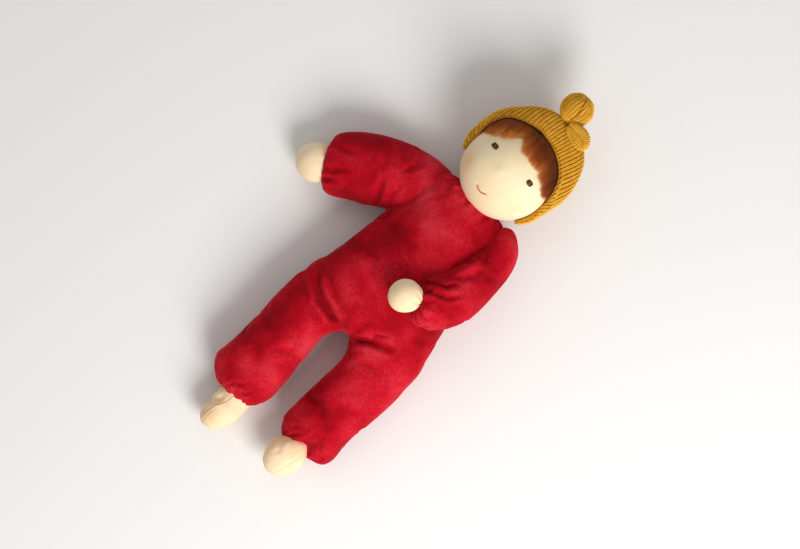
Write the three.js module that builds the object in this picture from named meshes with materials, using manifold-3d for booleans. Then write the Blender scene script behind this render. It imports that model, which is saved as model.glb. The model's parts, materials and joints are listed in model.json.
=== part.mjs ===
// A soft waldorf doll, 38 cm from toe to crown, lying on its back as it does when it is put down.
// Millimetres, +X to the doll's left, +Y to its head and +Z up out of the table it lies on.
// Every stuffed part is a sewn skin round a wool filling. A limb starts in a round root, centred on
// the line that it swings about, and the body has a hollow of the same shape for that root.
import * as THREE from "three";
import { mergeVertices } from "three/addons/utils/BufferGeometryUtils.js";
import Module from "manifold-3d";

// Thickness of the cloths, and how closely pieces sit
const velourThick = 1.6;
const skinThick = 1.2;
const knitThick = 3.0;
const hairThick = 2.3;
const seatGap = 0.3;
const swingGap = 0.45;
const fillGap = 0.9;
const restCut = 0.5;
const overrun = 60;

// Head: a tied ball of wool under a tricot skin
const headRadius = 38.4;
const headPlaceX = -8;
const headAboveNeck = 50;
const neckPlaceY = 49;
const neckPlaceZ = 28;
const neckRadius = 11.5;
const neckSink = 8;
const neckSwing = 3.2;
const neckTieThread = 1.1;
const neckTieDown = 42.5;
const noseRadius = 6;
const noseStand = 1.1;
const noseDrop = 3.2;
const noseSide = -2.4;
const nodForward = 10;
const nodBack = 10;

// Face stitches
const eyeWide = 5.2;
const eyeTall = 4.6;
const eyeThick = 0.8;
const eyeCorner = 1.6;
const eyeRise = 7.2;
const rightEyeOut = -23;
const leftEyeOut = 18;
const mouthHalfWide = 6;
const mouthDrop = 25.3;
const mouthBow = 2.6;
const mouthSide = -3;
const mouthThread = 0.55;

// Hair and hat
const hairlineAhead = 4.3;
const hairlineLean = 29.6;
const brimAhead = 10;
const brimLean = 11.5;
const napeDrop = 24;
const hairBelowHat = 2.5;
const crownLift = 17;
const crownLean = 9;
const crownFront = 27;
const ballRadius = 13.6;
const ballNeckRadius = 3.4;
const ballNeckHigh = 1.4;
const ballSide = -3.5;
const ballTieThread = 0.6;
const tailHalfWide = 5.2;
const tailHalfDeep = 4.6;
const tailReach = 22;

// Body
const bodyHalfWide = 49;
const bodyDeep = 62;
const bodyTopY = 70;
const bodyLength = 158;

// Right arm, which lies out to the side, and left arm, which is folded over the belly
const armHalfWide = 29;
const armLength = 64;
const rightShoulder = [-64, 33, 20.5];
const rightRootDeep = 20.5;
const rightRootTall = 27;
const foldedHalfWide = 21.5;
const foldedLength = 84;
const leftShoulder = [38, 50, 39];
const leftRootDeep = 19;
const leftRootWide = 16.4;

// Hands
const handRadius = 16.4;
const handDeep = 13.8;
const rightWristAhead = 6.8;
const leftHandRadius = 14.2;
const leftHandDeep = 13;
const leftHandPlace = [12.4, -26.4, 74.8];
const handMouth = 5;

// Legs and feet
const legHalfWide = 27;
const legRootDeep = 22;
const legLength = 80;
const hipBelowSeat = 11;
const hipLineY = bodyTopY - bodyLength - hipBelowSeat;
const rightHipX = -31;
const leftHipX = 43;
const footHalfWide = 15;
const footRootDeep = 13;
const footLength = 36;
const rightFootLift = 3;
const leftFootLift = 20;
const ankleBelowCuff = 5;
const footMouth = 6;

// Facets: what is hidden inside a skin has fewer
const bodySides = 24;
const hiddenBodySides = 16;
const limbSides = 16;
const hiddenLimbSides = 12;
const smallSides = 12;
const ballSides = 24;
const hiddenBallSides = 16;
const bodySteps = 12;
const armSteps = 8;
const legSteps = 7;
const footSteps = 5;
const endSides = 14;
const hiddenEndSides = 10;
const ballBands = 8;
const threadSides = 6;

// How much closer a limb's rings lie towards its end
const endCrowding = 0.45;

// How full the sections are: 2 is an ellipse
const rootPlump = 2.9;
const handPlump = 2.15;
const limbPlump = 2.3;
const bodyPlump = 2.5;

const degrees = Math.PI / 180;
const wasm = await Module();
wasm.setup();

const X = new THREE.Vector3(1, 0, 0);
const Y = new THREE.Vector3(0, 1, 0);
const Z = new THREE.Vector3(0, 0, 1);

// The head lies on the hair and the knit behind it, so its height follows their thickness.
const hairOuter = headRadius + seatGap + hairThick;
const hatInner = hairOuter + seatGap;
const hatOuter = hatInner + knitThick;
const headCentre = new THREE.Vector3(headPlaceX, neckPlaceY + headAboveNeck, hatOuter - restCut);
const neckPivot = new THREE.Vector3(headPlaceX, neckPlaceY, neckPlaceZ);
const neckAxis = headCentre.clone().sub(neckPivot).normalize();
const nodSteps = [-nodBack, 0, nodForward];

// Solids

function solidOf(geometry) {
  const bare = geometry.clone();
  bare.deleteAttribute("normal");
  bare.deleteAttribute("uv");
  const merged = mergeVertices(bare, 1e-4);
  return new wasm.Manifold(new wasm.Mesh({
    numProp: 3,
    vertProperties: new Float32Array(merged.attributes.position.array),
    triVerts: new Uint32Array(merged.index.array),
  }));
}

function placed(geometry, position, direction) {
  const turned = geometry.clone();
  turned.applyQuaternion(new THREE.Quaternion().setFromUnitVectors(Y, direction));
  turned.translate(position.x, position.y, position.z);
  return turned;
}

// A point of a plump oval, which is fuller at its corners than an ellipse.
function ovalPoint(angle, wide, deep, plump) {
  const c = Math.cos(angle);
  const s = Math.sin(angle);
  return [
    Math.sign(c) * Math.abs(c) ** (2 / plump) * wide,
    Math.sign(s) * Math.abs(s) ** (2 / plump) * deep,
  ];
}

// A round root: a plump barrel that is circular about the line it swings on.
function root(centre, axis, across, round, sides = limbSides, plump = rootPlump) {
  const bands = sides / 2;
  const profile = [new THREE.Vector2(0, -across)];
  for (let i = 1; i < bands; i++) {
    profile.push(new THREE.Vector2(...ovalPoint(Math.PI * (i / bands - 0.5), round, across, plump)));
  }
  profile.push(new THREE.Vector2(0, across));
  return solidOf(placed(new THREE.LatheGeometry(profile, sides), centre, axis));
}

// A faceted ball or tube lies inside its true circle; a hollow is made this much larger to clear it.
function roomy(sides) {
  return 1 / Math.cos(Math.PI / sides);
}

// The space that a root's limb needs straight ahead of it when it is swung up.
function swungSpace(centre, axis, across, round, toward, sides) {
  const outline = [];
  for (let i = 0; i < sides; i++) {
    outline.push(new THREE.Vector2(...ovalPoint((2 * Math.PI * i) / sides, across, round, rootPlump)));
  }
  const bar = new THREE.ExtrudeGeometry(new THREE.Shape(outline), { depth: overrun, bevelEnabled: false });
  bar.applyMatrix4(new THREE.Matrix4().makeBasis(axis, toward.clone().cross(axis), toward));
  bar.translate(centre.x, centre.y, centre.z);
  return solidOf(bar);
}

// Everything on the far side of a plane: square to direction, at a distance from a point.
function beyond(point, direction, distance) {
  const slab = new THREE.BoxGeometry(1, 1, 1);
  const reach = 3 * (bodyLength + legLength);
  slab.scale(reach, reach, reach);
  slab.translate(0, reach / 2 + distance, 0);
  return solidOf(placed(slab, point, direction));
}

function underTable(height) {
  return beyond(new THREE.Vector3(), Z.clone().negate(), -height);
}

// Smooth values between the rows of a table, each row led by its share of the way along.
function rowAt(rows, share) {
  const last = rows.length - 1;
  let i = rows.findIndex((row) => row[0] >= share);
  i = Math.min(Math.max(i, 1), last);
  const before = rows[Math.max(i - 2, 0)];
  const from = rows[i - 1];
  const to = rows[i];
  const after = rows[Math.min(i + 1, last)];
  const t = (share - from[0]) / (to[0] - from[0]);
  return from.map((value, k) => {
    const slopeFrom = (to[k] - before[k]) / (to[0] - before[0]) * (to[0] - from[0]);
    const slopeTo = (after[k] - from[k]) / (after[0] - from[0]) * (to[0] - from[0]);
    const a = 2 * value - 2 * to[k] + slopeFrom + slopeTo;
    const b = 3 * to[k] - 3 * value - 2 * slopeFrom - slopeTo;
    return ((a * t + b) * t + slopeFrom) * t + value;
  });
}

// A stuffed skin: plump rings along a line, closed by a point at each end.
function plumpLoft(rings, sides, plump) {
  const points = [];
  for (const ring of rings) {
    for (let i = 0; i < sides; i++) {
      const angle = (i / sides) * 2 * Math.PI;
      const [a, b] = ovalPoint(angle, ring.wide, ring.deep, plump);
      points.push(ring.centre.clone().addScaledVector(ring.side, a).addScaledVector(ring.lift, b));
    }
  }
  const first = points.push(rings[0].centre) - 1;
  const end = points.push(rings[rings.length - 1].centre) - 1;
  const faces = [];
  for (let r = 0; r + 1 < rings.length; r++) {
    for (let i = 0; i < sides; i++) {
      const j = (i + 1) % sides;
      const low = r * sides;
      const high = low + sides;
      faces.push(low + i, low + j, high + j, low + i, high + j, high + i);
    }
  }
  const top = (rings.length - 1) * sides;
  for (let i = 0; i < sides; i++) {
    const j = (i + 1) % sides;
    faces.push(first, j, i, end, top + i, top + j);
  }
  const geometry = new THREE.BufferGeometry();
  geometry.setAttribute("position", new THREE.Float32BufferAttribute(points.flatMap((p) => p.toArray()), 3));
  geometry.setIndex(faces);
  return solidOf(geometry);
}

// A limb: rows of [share along, wide share, deep share, turn of the ring in degrees], laid along a
// spine. The inset draws the whole form in by that much, for the inside of a skin or its filling.
function limbLoft({ spine, rows, halfWide, halfDeep, steps, inset = 0, sides = limbSides }) {
  const length = spine.getLength();
  const rings = [];
  for (let i = 0; i <= steps; i++) {
    const share = i / steps + (i / steps) * (1 - i / steps) * endCrowding;
    const along = Math.min(Math.max((inset + share * (length - 2 * inset)) / length, 0), 1);
    const [, wide, deep, turn] = rowAt(rows, share);
    const side = new THREE.Vector3(Math.cos(turn * degrees), Math.sin(turn * degrees), 0);
    const ahead = spine.getTangentAt(along);
    rings.push({
      centre: spine.getPointAt(along),
      side,
      lift: new THREE.Vector3().crossVectors(side, ahead).normalize().negate(),
      wide: wide * halfWide - inset,
      deep: deep * halfDeep - inset,
    });
  }
  return plumpLoft(rings, sides, limbPlump);
}

function spineFrom(start, length, shares) {
  const points = shares.map((share) => new THREE.Vector3(...share).multiplyScalar(length).add(start));
  return new THREE.CatmullRomCurve3(points, false, "centripetal");
}

// Right arm: spine and rings

const rightShoulderAt = new THREE.Vector3(...rightShoulder);
const rightArmSpineShares = [
  [0, 0, 0], [-0.23, -0.16, 0], [-0.45, -0.36, -0.01], [-0.62, -0.49, -0.02], [-0.73, -0.58, -0.03],
];
const rightArmSpine = spineFrom(rightShoulderAt, armLength, rightArmSpineShares);
const rightArmShares = [
  [0, 0.93, 0.707, 90], [0.3, 1.0, 0.7, 108], [0.6, 0.99, 0.66, 122],
  [0.85, 0.87, 0.6, 127], [1, 0.58, 0.44, 127],
];

// Left arm: a crescent from the shoulder round to the hand on the belly

const leftShoulderAt = new THREE.Vector3(...leftShoulder);
const leftArmSpineShares = [
  [0, 0, 0], [0.02, -0.2, 0.05], [0.024, -0.42, 0.12], [-0.015, -0.63, 0.22],
  [-0.09, -0.77, 0.33], [-0.2, -0.88, 0.415],
];
const leftArmSpine = spineFrom(leftShoulderAt, foldedLength, leftArmSpineShares);
const leftArmShares = [
  [0, 0.763, 0.884, 180], [0.25, 0.86, 0.84, 180], [0.5, 0.97, 0.8, 177],
  [0.72, 1.0, 0.77, 166], [0.9, 0.82, 0.7, 148], [1, 0.56, 0.56, 125],
];

// Legs

const rightHip = new THREE.Vector3(rightHipX, hipLineY, legRootDeep - restCut);
const leftHip = new THREE.Vector3(leftHipX, hipLineY, legRootDeep - restCut);
const rightLegSpineShares = [
  [0, 0, 0], [0.035, -0.33, -0.01], [0.07, -0.64, -0.02], [0.09, -0.84, -0.03], [0.14, -1, -0.035],
];
const leftLegSpineShares = [
  [0, 0, 0], [0.012, -0.33, -0.01], [0.03, -0.62, -0.02], [0.045, -0.78, -0.03], [0.06, -0.9, -0.03],
];
const rightLegSpine = spineFrom(rightHip, legLength, rightLegSpineShares);
const leftLegSpine = spineFrom(leftHip, legLength, leftLegSpineShares);
const rightLegShares = [
  [0, 0.963, 0.815, 180], [0.33, 1.0, 0.8, 180], [0.64, 1.02, 0.77, 180], [0.86, 0.94, 0.7, 180],
  [1, 0.6, 0.5, 180],
];
const leftLegShares = [
  [0, 1.0, 0.815, 180], [0.36, 1.0, 0.8, 180], [0.68, 0.98, 0.77, 180], [0.87, 0.93, 0.7, 180],
  [1, 0.64, 0.5, 180],
];

// Body: share along from the seat to the neck, left edge, right edge, front and back, as shares of
// the half width and of the depth

const bodyShares = [
  [0, -0.8, 1.05, 0.34, 0.06], [0.04, -1.08, 1.34, 0.58, 0.012], [0.1, -1.17, 1.42, 0.8, 0],
  [0.2, -1.15, 1.34, 0.94, 0], [0.33, -1.08, 1.19, 1.0, 0], [0.46, -1.01, 1.04, 0.985, 0],
  [0.6, -1.0, 0.99, 0.93, 0], [0.74, -0.98, 0.98, 0.87, 0], [0.86, -0.94, 0.94, 0.83, 0.01],
  [0.93, -0.86, 0.84, 0.85, 0.04], [0.975, -0.74, 0.6, 0.83, 0.1], [1, -0.6, 0.36, 0.76, 0.18],
];
function bodyLoft(inset, hidden = false) {
  const rings = [];
  for (let i = 0; i <= bodySteps; i++) {
    const share = i / bodySteps;
    const [, left, right, front, back] = rowAt(bodyShares, share);
    const from = bodyTopY - bodyLength + inset;
    rings.push({
      centre: new THREE.Vector3(
        ((left + right) / 2) * bodyHalfWide,
        from + share * (bodyLength - 2 * inset),
        ((front + back) / 2) * bodyDeep - restCut,
      ),
      side: X.clone().negate(),
      lift: Z,
      wide: ((right - left) / 2) * bodyHalfWide - inset,
      deep: ((front - back) / 2) * bodyDeep - inset,
    });
  }
  return plumpLoft(rings, hidden ? hiddenBodySides : bodySides, bodyPlump);
}

// The head's ball at each end of its nod, which the collar has to leave room for.
function noddedHeads(radius, sides) {
  let all = null;
  for (const nod of nodSteps) {
    const centre = headCentre.clone().sub(neckPivot).applyAxisAngle(X, nod * degrees).add(neckPivot);
    const ball = solidOf(placed(new THREE.SphereGeometry(radius, sides, sides / 2), centre, neckAxis));
    all = all ? all.add(ball) : ball;
  }
  return all;
}

function neckHole(grow) {
  const radius = neckRadius + neckSwing + grow;
  const tube = new THREE.CylinderGeometry(radius, radius, overrun, smallSides);
  const middle = neckPivot.clone().addScaledVector(neckAxis, overrun / 2);
  const floor = new THREE.SphereGeometry(radius, smallSides, smallSides / 2);
  return solidOf(placed(tube, middle, neckAxis)).add(solidOf(placed(floor, neckPivot, neckAxis)));
}

const limbRoots = [
  { at: rightShoulderAt, axis: Y, across: rightRootTall, round: rightRootDeep },
  { at: leftShoulderAt, axis: X, across: leftRootWide, round: leftRootDeep },
  { at: rightHip, axis: X, across: legHalfWide * rightLegShares[0][1], round: legRootDeep },
  { at: leftHip, axis: X, across: legHalfWide * leftLegShares[0][1], round: legRootDeep },
];

function bodyForm(inset, hidden) {
  const grow = swingGap + inset;
  const sides = hidden ? hiddenLimbSides : limbSides;
  const room = hidden ? roomy(sides) : 1;
  let form = bodyLoft(inset, hidden).subtract(underTable(inset));
  for (const { at, axis, across, round } of limbRoots) {
    const wide = (across + grow) * room;
    const deep = (round + grow) * room;
    form = form.subtract(root(at, axis, wide, deep, sides));
    form = form.subtract(swungSpace(at, axis, wide, deep, Z, sides));
  }
  return form.subtract(noddedHeads((headRadius + grow) * roomy(hiddenBallSides), hiddenBallSides));
}

// A limb's form: its loft cut back by the body, with the round root that the body is hollowed for.
function limbForm(loft, limbRoot, inset, hidden) {
  const { at, axis, across, round } = limbRoot;
  return loft(inset, hidden)
    .subtract(bodyLoft(-(seatGap + inset)))
    .add(root(at, axis, across - inset, round - inset, hidden ? hiddenLimbSides : limbSides))
    .subtract(underTable(inset));
}

// A skin with its filling. The opening is the mouth that the next piece sits in.
function skinAndFilling(form, thick, opening) {
  const skin = form(0).subtract(form(thick)).subtract(opening(0));
  const filling = form(thick + fillGap, true).subtract(opening(fillGap));
  return [skin, filling];
}

// Hands: a ball flattened along the line that the wrist turns on

const rightWrist = rightArmSpine.getPointAt(1)
  .addScaledVector(rightArmSpine.getTangentAt(1).setZ(0).normalize(), rightWristAhead)
  .setZ(handDeep - restCut);
const leftWrist = new THREE.Vector3(...leftHandPlace);

function handParts(centre, radius, deep, toArm) {
  const form = (inset, sides) => root(centre, Z, deep - inset, radius - inset, sides, handPlump)
    .subtract(underTable(inset));
  const tube = new THREE.CylinderGeometry(handMouth, handMouth, radius, smallSides);
  const hole = solidOf(placed(tube, centre.clone().addScaledVector(toArm, radius), toArm));
  const skin = form(0, endSides).subtract(form(skinThick, endSides)).subtract(hole);
  return [skin, form(skinThick + fillGap, hiddenEndSides)];
}

// Feet: an egg whose heel end is the round root in the cuff

const footShares = [
  [0, 0.95, 0.867, 180], [0.35, 1.0, 0.92, 180], [0.65, 0.97, 0.88, 180], [0.85, 0.8, 0.72, 180],
  [0.95, 0.55, 0.5, 180], [1, 0.25, 0.22, 180],
];

function footParts(ankle, lift, drift) {
  const ahead = new THREE.Vector3(drift, -Math.cos(lift * degrees), Math.sin(lift * degrees)).normalize();
  const spine = new THREE.LineCurve3(ankle, ankle.clone().addScaledVector(ahead, footLength));
  const form = (inset, sides) => limbLoft({
    spine, rows: footShares, halfWide: footHalfWide, halfDeep: footHalfWide, steps: footSteps, inset, sides,
  }).add(root(ankle, X, footHalfWide * footShares[0][1] - inset, footRootDeep - inset, sides))
    .subtract(underTable(inset));
  const tube = new THREE.CylinderGeometry(footMouth, footMouth, footRootDeep, smallSides);
  const hole = solidOf(placed(tube, ankle.clone().addScaledVector(ahead, -footRootDeep), ahead));
  const skin = form(0, endSides).subtract(form(skinThick, endSides)).subtract(hole);
  return [skin, form(skinThick + fillGap, hiddenEndSides)];
}

function ankleOf(spine) {
  const end = spine.getPointAt(1);
  const ahead = spine.getTangentAt(1);
  return end.addScaledVector(ahead, ankleBelowCuff).setZ(footRootDeep + seatGap * 2 + velourThick);
}

// Head

function headBall(radius, sides = ballSides) {
  return placed(new THREE.SphereGeometry(radius, sides, sides / 2), headCentre, neckAxis);
}

function onFace(across, up, radius) {
  const ahead = Math.sqrt(radius * radius - across * across - up * up);
  return headCentre.clone().add(new THREE.Vector3(across, up, ahead));
}

function headForm(inset, sides) {
  const nose = new THREE.SphereGeometry(noseRadius, smallSides, smallSides / 2);
  const at = onFace(noseSide, -noseDrop, headRadius - noseRadius + noseStand - inset);
  return solidOf(headBall(headRadius - inset, sides)).add(solidOf(placed(nose, at, Z)));
}

function headHole() {
  const radius = neckRadius - skinThick;
  const tube = new THREE.CylinderGeometry(radius, radius, headRadius, smallSides);
  return solidOf(placed(tube, headCentre.clone().addScaledVector(neckAxis, -headRadius), neckAxis));
}

function eyePad(across) {
  const shape = new THREE.Shape();
  const w = eyeWide / 2;
  const h = eyeTall / 2;
  shape.moveTo(w - eyeCorner, -h);
  shape.absarc(w - eyeCorner, eyeCorner - h, eyeCorner, -Math.PI / 2, 0);
  shape.absarc(w - eyeCorner, h - eyeCorner, eyeCorner, 0, Math.PI / 2);
  shape.absarc(eyeCorner - w, h - eyeCorner, eyeCorner, Math.PI / 2, Math.PI);
  shape.absarc(eyeCorner - w, eyeCorner - h, eyeCorner, Math.PI, Math.PI * 1.5);
  shape.closePath();
  const pad = new THREE.ExtrudeGeometry(shape, { depth: eyeThick, bevelEnabled: false, curveSegments: 2 });
  const seat = onFace(across, eyeRise, headRadius + seatGap);
  const out = seat.clone().sub(headCentre).normalize();
  pad.applyQuaternion(new THREE.Quaternion().setFromUnitVectors(Z, out));
  pad.translate(seat.x, seat.y, seat.z);
  return solidOf(pad);
}

function mouthStitch() {
  const steps = 6;
  const points = [];
  for (let i = 0; i <= steps; i++) {
    const share = (2 * i) / steps - 1;
    const up = -mouthDrop - mouthBow * (1 - share * share);
    points.push(onFace(mouthSide + share * mouthHalfWide, up, headRadius + seatGap + mouthThread));
  }
  const round = new THREE.Shape();
  round.absarc(0, 0, mouthThread, 0, 2 * Math.PI);
  const path = new THREE.CatmullRomCurve3(points);
  return solidOf(new THREE.ExtrudeGeometry(round, {
    steps: steps, extrudePath: path, curveSegments: 3, bevelEnabled: false,
  }));
}

// Hair: a mohair wig over the crown and the back of the head
const hairlineAxis = Z.clone().applyAxisAngle(X, hairlineLean * degrees);
const brimAxis = Z.clone().applyAxisAngle(X, brimLean * degrees);
const napeAxis = neckAxis.clone().negate();

function hairWig() {
  return solidOf(headBall(hairOuter))
    .subtract(solidOf(headBall(headRadius + seatGap)))
    .subtract(beyond(headCentre, hairlineAxis, hairlineAhead))
    .subtract(beyond(headCentre, napeAxis, napeDrop + hairBelowHat));
}

// Hat: a knitted tube drawn together at the crown, so it stands taller than the head
const crownAxis = new THREE.Vector3(Math.sin(crownLean * degrees), Math.cos(crownLean * degrees), 0);

// How far the knit stands from the middle of the head: out to the crown, less so over the forehead.
function hatReach(direction, radius) {
  const toCrown = Math.max(direction.dot(crownAxis), 0);
  const toFace = Math.min(Math.max(direction.z, 0) / Math.sin(crownFront * degrees), 1);
  return radius + crownLift * toCrown * toCrown * (1 - toFace * toFace);
}

function hatDome(radius) {
  const dome = new THREE.SphereGeometry(1, ballSides, ballSides / 2);
  const at = dome.attributes.position;
  const turn = new THREE.Quaternion().setFromUnitVectors(Y, neckAxis);
  for (let i = 0; i < at.count; i++) {
    const way = new THREE.Vector3().fromBufferAttribute(at, i).normalize().applyQuaternion(turn);
    way.multiplyScalar(hatReach(way, radius)).add(headCentre);
    at.setXYZ(i, way.x, way.y, way.z);
  }
  const bandRadius = radius * roomy(ballSides);
  const band = new THREE.CylinderGeometry(bandRadius, bandRadius, overrun / 2, ballSides);
  const middle = headCentre.clone().addScaledVector(brimAxis, overrun / 4);
  return solidOf(dome).add(solidOf(placed(band, middle, brimAxis)));
}

function hatCap() {
  return hatDome(hatOuter)
    .subtract(hatDome(hatInner))
    .subtract(beyond(headCentre, brimAxis, brimAhead))
    .subtract(beyond(headCentre, napeAxis, napeDrop))
    .subtract(underTable(0));
}

// The room that the hat takes, for the pieces that lie against its outside.
function hatRoom() {
  return hatDome(hatOuter + seatGap);
}

// The ball is tied off from the end of the same tube, so a short neck joins it to the crown.
const ballSeat = (() => {
  const way = new THREE.Vector3(ballSide, hatOuter + crownLift, 0).normalize();
  return headCentre.clone().addScaledVector(way, hatReach(way, hatOuter) + seatGap);
})();

const ballMiddle = ballNeckHigh + Math.sqrt(ballRadius ** 2 - ballNeckRadius ** 2);

function ballOf(inset) {
  const ball = new THREE.SphereGeometry(ballRadius - inset, limbSides, ballBands);
  return solidOf(placed(ball, ballSeat.clone().addScaledVector(Y, ballMiddle), Y));
}

function hatBallSkin() {
  const neckHigh = 2 * ballNeckHigh;
  const middle = ballSeat.clone().addScaledVector(Y, neckHigh / 2);
  const neck = new THREE.CylinderGeometry(ballNeckRadius, ballNeckRadius, neckHigh, limbSides);
  const mouth = new THREE.CylinderGeometry(ballNeckRadius / 2, ballNeckRadius / 2, ballRadius, smallSides);
  return ballOf(0)
    .add(solidOf(placed(neck, middle, Y)))
    .subtract(ballOf(knitThick))
    .subtract(solidOf(placed(mouth, ballSeat, Y)));
}

function ballTie() {
  const ringRadius = ballNeckRadius + seatGap + ballTieThread;
  const ring = new THREE.TorusGeometry(ringRadius, ballTieThread, threadSides, smallSides);
  ring.rotateX(Math.PI / 2);
  ring.translate(ballSeat.x, ballSeat.y + ballTieThread + seatGap, ballSeat.z);
  return solidOf(ring).subtract(hatRoom());
}

// The end of the knitted tube, folded back beside the ball
const tailSpineShares = [
  [0.36, 0.02, 0.12], [0.62, 0.2, 0.16], [0.96, 0.24, 0.14], [1.26, 0.02, 0.06], [1.34, -0.34, -0.02],
];
const tailSpine = spineFrom(ballSeat, tailReach, tailSpineShares);
const tailShares = [
  [0, 0.5, 0.5, 90], [0.2, 0.95, 0.95, 80], [0.5, 1, 1, 60], [0.8, 0.95, 0.95, 20], [1, 0.6, 0.6, 10],
];

function tailFold() {
  return limbLoft({
    spine: tailSpine, rows: tailShares, halfWide: tailHalfWide, halfDeep: tailHalfDeep, steps: armSteps,
    sides: smallSides,
  }).subtract(hatRoom());
}

// Neck: a stuffed tricot stem between the head and the body, tied under the chin
function neckStem() {
  const high = headAboveNeck + neckSink;
  const tube = new THREE.CylinderGeometry(neckRadius, neckRadius, high, smallSides);
  const middle = neckPivot.clone().addScaledVector(neckAxis, high / 2 - neckSink);
  const foot = new THREE.SphereGeometry(neckRadius, smallSides, smallSides / 2);
  const keep = solidOf(placed(tube, middle, neckAxis)).subtract(beyond(neckPivot, napeAxis, 0));
  return keep.add(solidOf(placed(foot, neckPivot, neckAxis)))
    .subtract(solidOf(headBall(headRadius + seatGap)));
}

function neckTie() {
  const ringRadius = neckRadius + seatGap + neckTieThread;
  const ring = new THREE.TorusGeometry(ringRadius, neckTieThread, threadSides, smallSides);
  ring.rotateX(Math.PI / 2);
  return solidOf(placed(ring, headCentre.clone().addScaledVector(neckAxis, -neckTieDown), neckAxis));
}

// Materials
function cloth(color, roughness = 0.9) {
  return new THREE.MeshStandardMaterial({ color, roughness, metalness: 0 });
}

const colours = {
  velour: 0xb00818,
  skin: 0xf4d8ae,
  foot: 0xf0cda0,
  wool: 0xe9e2d0,
  knit: 0xdc9a1a,
  hair: 0x9c4a1a,
  brown: 0x5a4030,
  coral: 0xd8675a,
  thread: 0xefe6d2,
};

const doll = new THREE.Group();
doll.name = "doll";

function addPiece(name, solid, colour) {
  const made = solid.getMesh();
  const geometry = new THREE.BufferGeometry();
  geometry.setAttribute("position", new THREE.BufferAttribute(new Float32Array(made.vertProperties), 3));
  geometry.setIndex(new THREE.BufferAttribute(new Uint32Array(made.triVerts), 1));
  const mesh = new THREE.Mesh(geometry, cloth(colour));
  mesh.name = name;
  doll.add(mesh);
}

// Body
const [torsoCover, torsoFilling] = skinAndFilling(bodyForm, velourThick, neckHole);
addPiece("torso_cover", torsoCover, colours.velour);
addPiece("torso_filling", torsoFilling, colours.wool);
addPiece("neck_stem", neckStem(), colours.skin);
addPiece("neck_tie", neckTie(), colours.thread);

// Head and face
addPiece("head_skin", headForm(0).subtract(headForm(skinThick)).subtract(headHole()), colours.skin);
addPiece("head_core", headForm(skinThick + fillGap, hiddenBallSides), colours.wool);
addPiece("left_eye", eyePad(leftEyeOut), colours.brown);
addPiece("right_eye", eyePad(rightEyeOut), colours.brown);
addPiece("mouth", mouthStitch(), colours.coral);
addPiece("hair", hairWig(), colours.hair);

// Hat
addPiece("hat_cap", hatCap(), colours.knit);
addPiece("hat_ball", hatBallSkin(), colours.knit);
addPiece("hat_ball_filling", ballOf(knitThick + seatGap), colours.wool);
addPiece("hat_ball_tie", ballTie(), colours.knit);
addPiece("hat_tail_fold", tailFold(), colours.knit);

// Arms
const arms = [
  {
    side: "right", limbRoot: limbRoots[0], spine: rightArmSpine, rows: rightArmShares,
    halfWide: armHalfWide, wrist: rightWrist, radius: handRadius, deep: handDeep,
  },
  {
    side: "left", limbRoot: limbRoots[1], spine: leftArmSpine, rows: leftArmShares,
    halfWide: foldedHalfWide, wrist: leftWrist, radius: leftHandRadius, deep: leftHandDeep,
  },
];
for (const arm of arms) {
  const loft = (inset, hidden) => limbLoft({
    spine: arm.spine, rows: arm.rows, halfWide: arm.halfWide, halfDeep: arm.halfWide, steps: armSteps, inset,
    sides: hidden ? hiddenLimbSides : limbSides,
  });
  const form = (inset, hidden) => limbForm(loft, arm.limbRoot, inset, hidden);
  const mouth = (grow) => root(
    arm.wrist, Z, arm.deep + swingGap + grow, arm.radius + swingGap + grow, endSides, handPlump,
  );
  const [sleeve, filling] = skinAndFilling(form, velourThick, mouth);
  addPiece(`${arm.side}_sleeve`, sleeve, colours.velour);
  addPiece(`${arm.side}_arm_filling`, filling, colours.wool);
  const toArm = arm.spine.getPointAt(1).sub(arm.wrist).normalize();
  const [skin, wool] = handParts(arm.wrist, arm.radius, arm.deep, toArm);
  addPiece(`${arm.side}_hand_skin`, skin, colours.skin);
  addPiece(`${arm.side}_hand_filling`, wool, colours.wool);
}

// Legs
const legs = [
  { side: "right", limbRoot: limbRoots[2], spine: rightLegSpine, rows: rightLegShares, lift: rightFootLift,
    drift: -0.04 },
  { side: "left", limbRoot: limbRoots[3], spine: leftLegSpine, rows: leftLegShares, lift: leftFootLift,
    drift: -0.05 },
];
for (const leg of legs) {
  const ankle = ankleOf(leg.spine);
  const loft = (inset, hidden) => limbLoft({
    spine: leg.spine, rows: leg.rows, halfWide: legHalfWide, halfDeep: legHalfWide, steps: legSteps, inset,
    sides: hidden ? hiddenLimbSides : limbSides,
  });
  const form = (inset, hidden) => limbForm(loft, leg.limbRoot, inset, hidden);
  const mouth = (grow) => root(
    ankle, X, footHalfWide * footShares[0][1] + swingGap + grow, footRootDeep + swingGap + grow, endSides,
  );
  const [cover, filling] = skinAndFilling(form, velourThick, mouth);
  addPiece(`${leg.side}_leg_cover`, cover, colours.velour);
  addPiece(`${leg.side}_leg_filling`, filling, colours.wool);
  const [skin, wool] = footParts(ankle, leg.lift, leg.drift);
  addPiece(`${leg.side}_foot_skin`, skin, colours.foot);
  addPiece(`${leg.side}_foot_filling`, wool, colours.wool);
}

// The doll lies centred on its footprint.
const box = new THREE.Box3().setFromObject(doll);
const middle = box.getCenter(new THREE.Vector3());
doll.position.set(-middle.x, -middle.y, 0);

export default doll;
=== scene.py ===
# %% [markdown]
# A soft waldorf doll, lying on its back
#
# The doll is a stuffed velour suit with a round tricot head, ball hands and egg-shaped feet, and it
# wears a rib-knitted hat over a mohair wig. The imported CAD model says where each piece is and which
# body it moves with, so we load that first and dress it piece by piece. Lengths below are in
# millimetres from the middle of the doll's chest, because that is how a doll maker would draw them,
# and each mesh is turned into metres in the CAD's frame when it is made.

# %% Load the CAD frame
import json
import math

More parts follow.
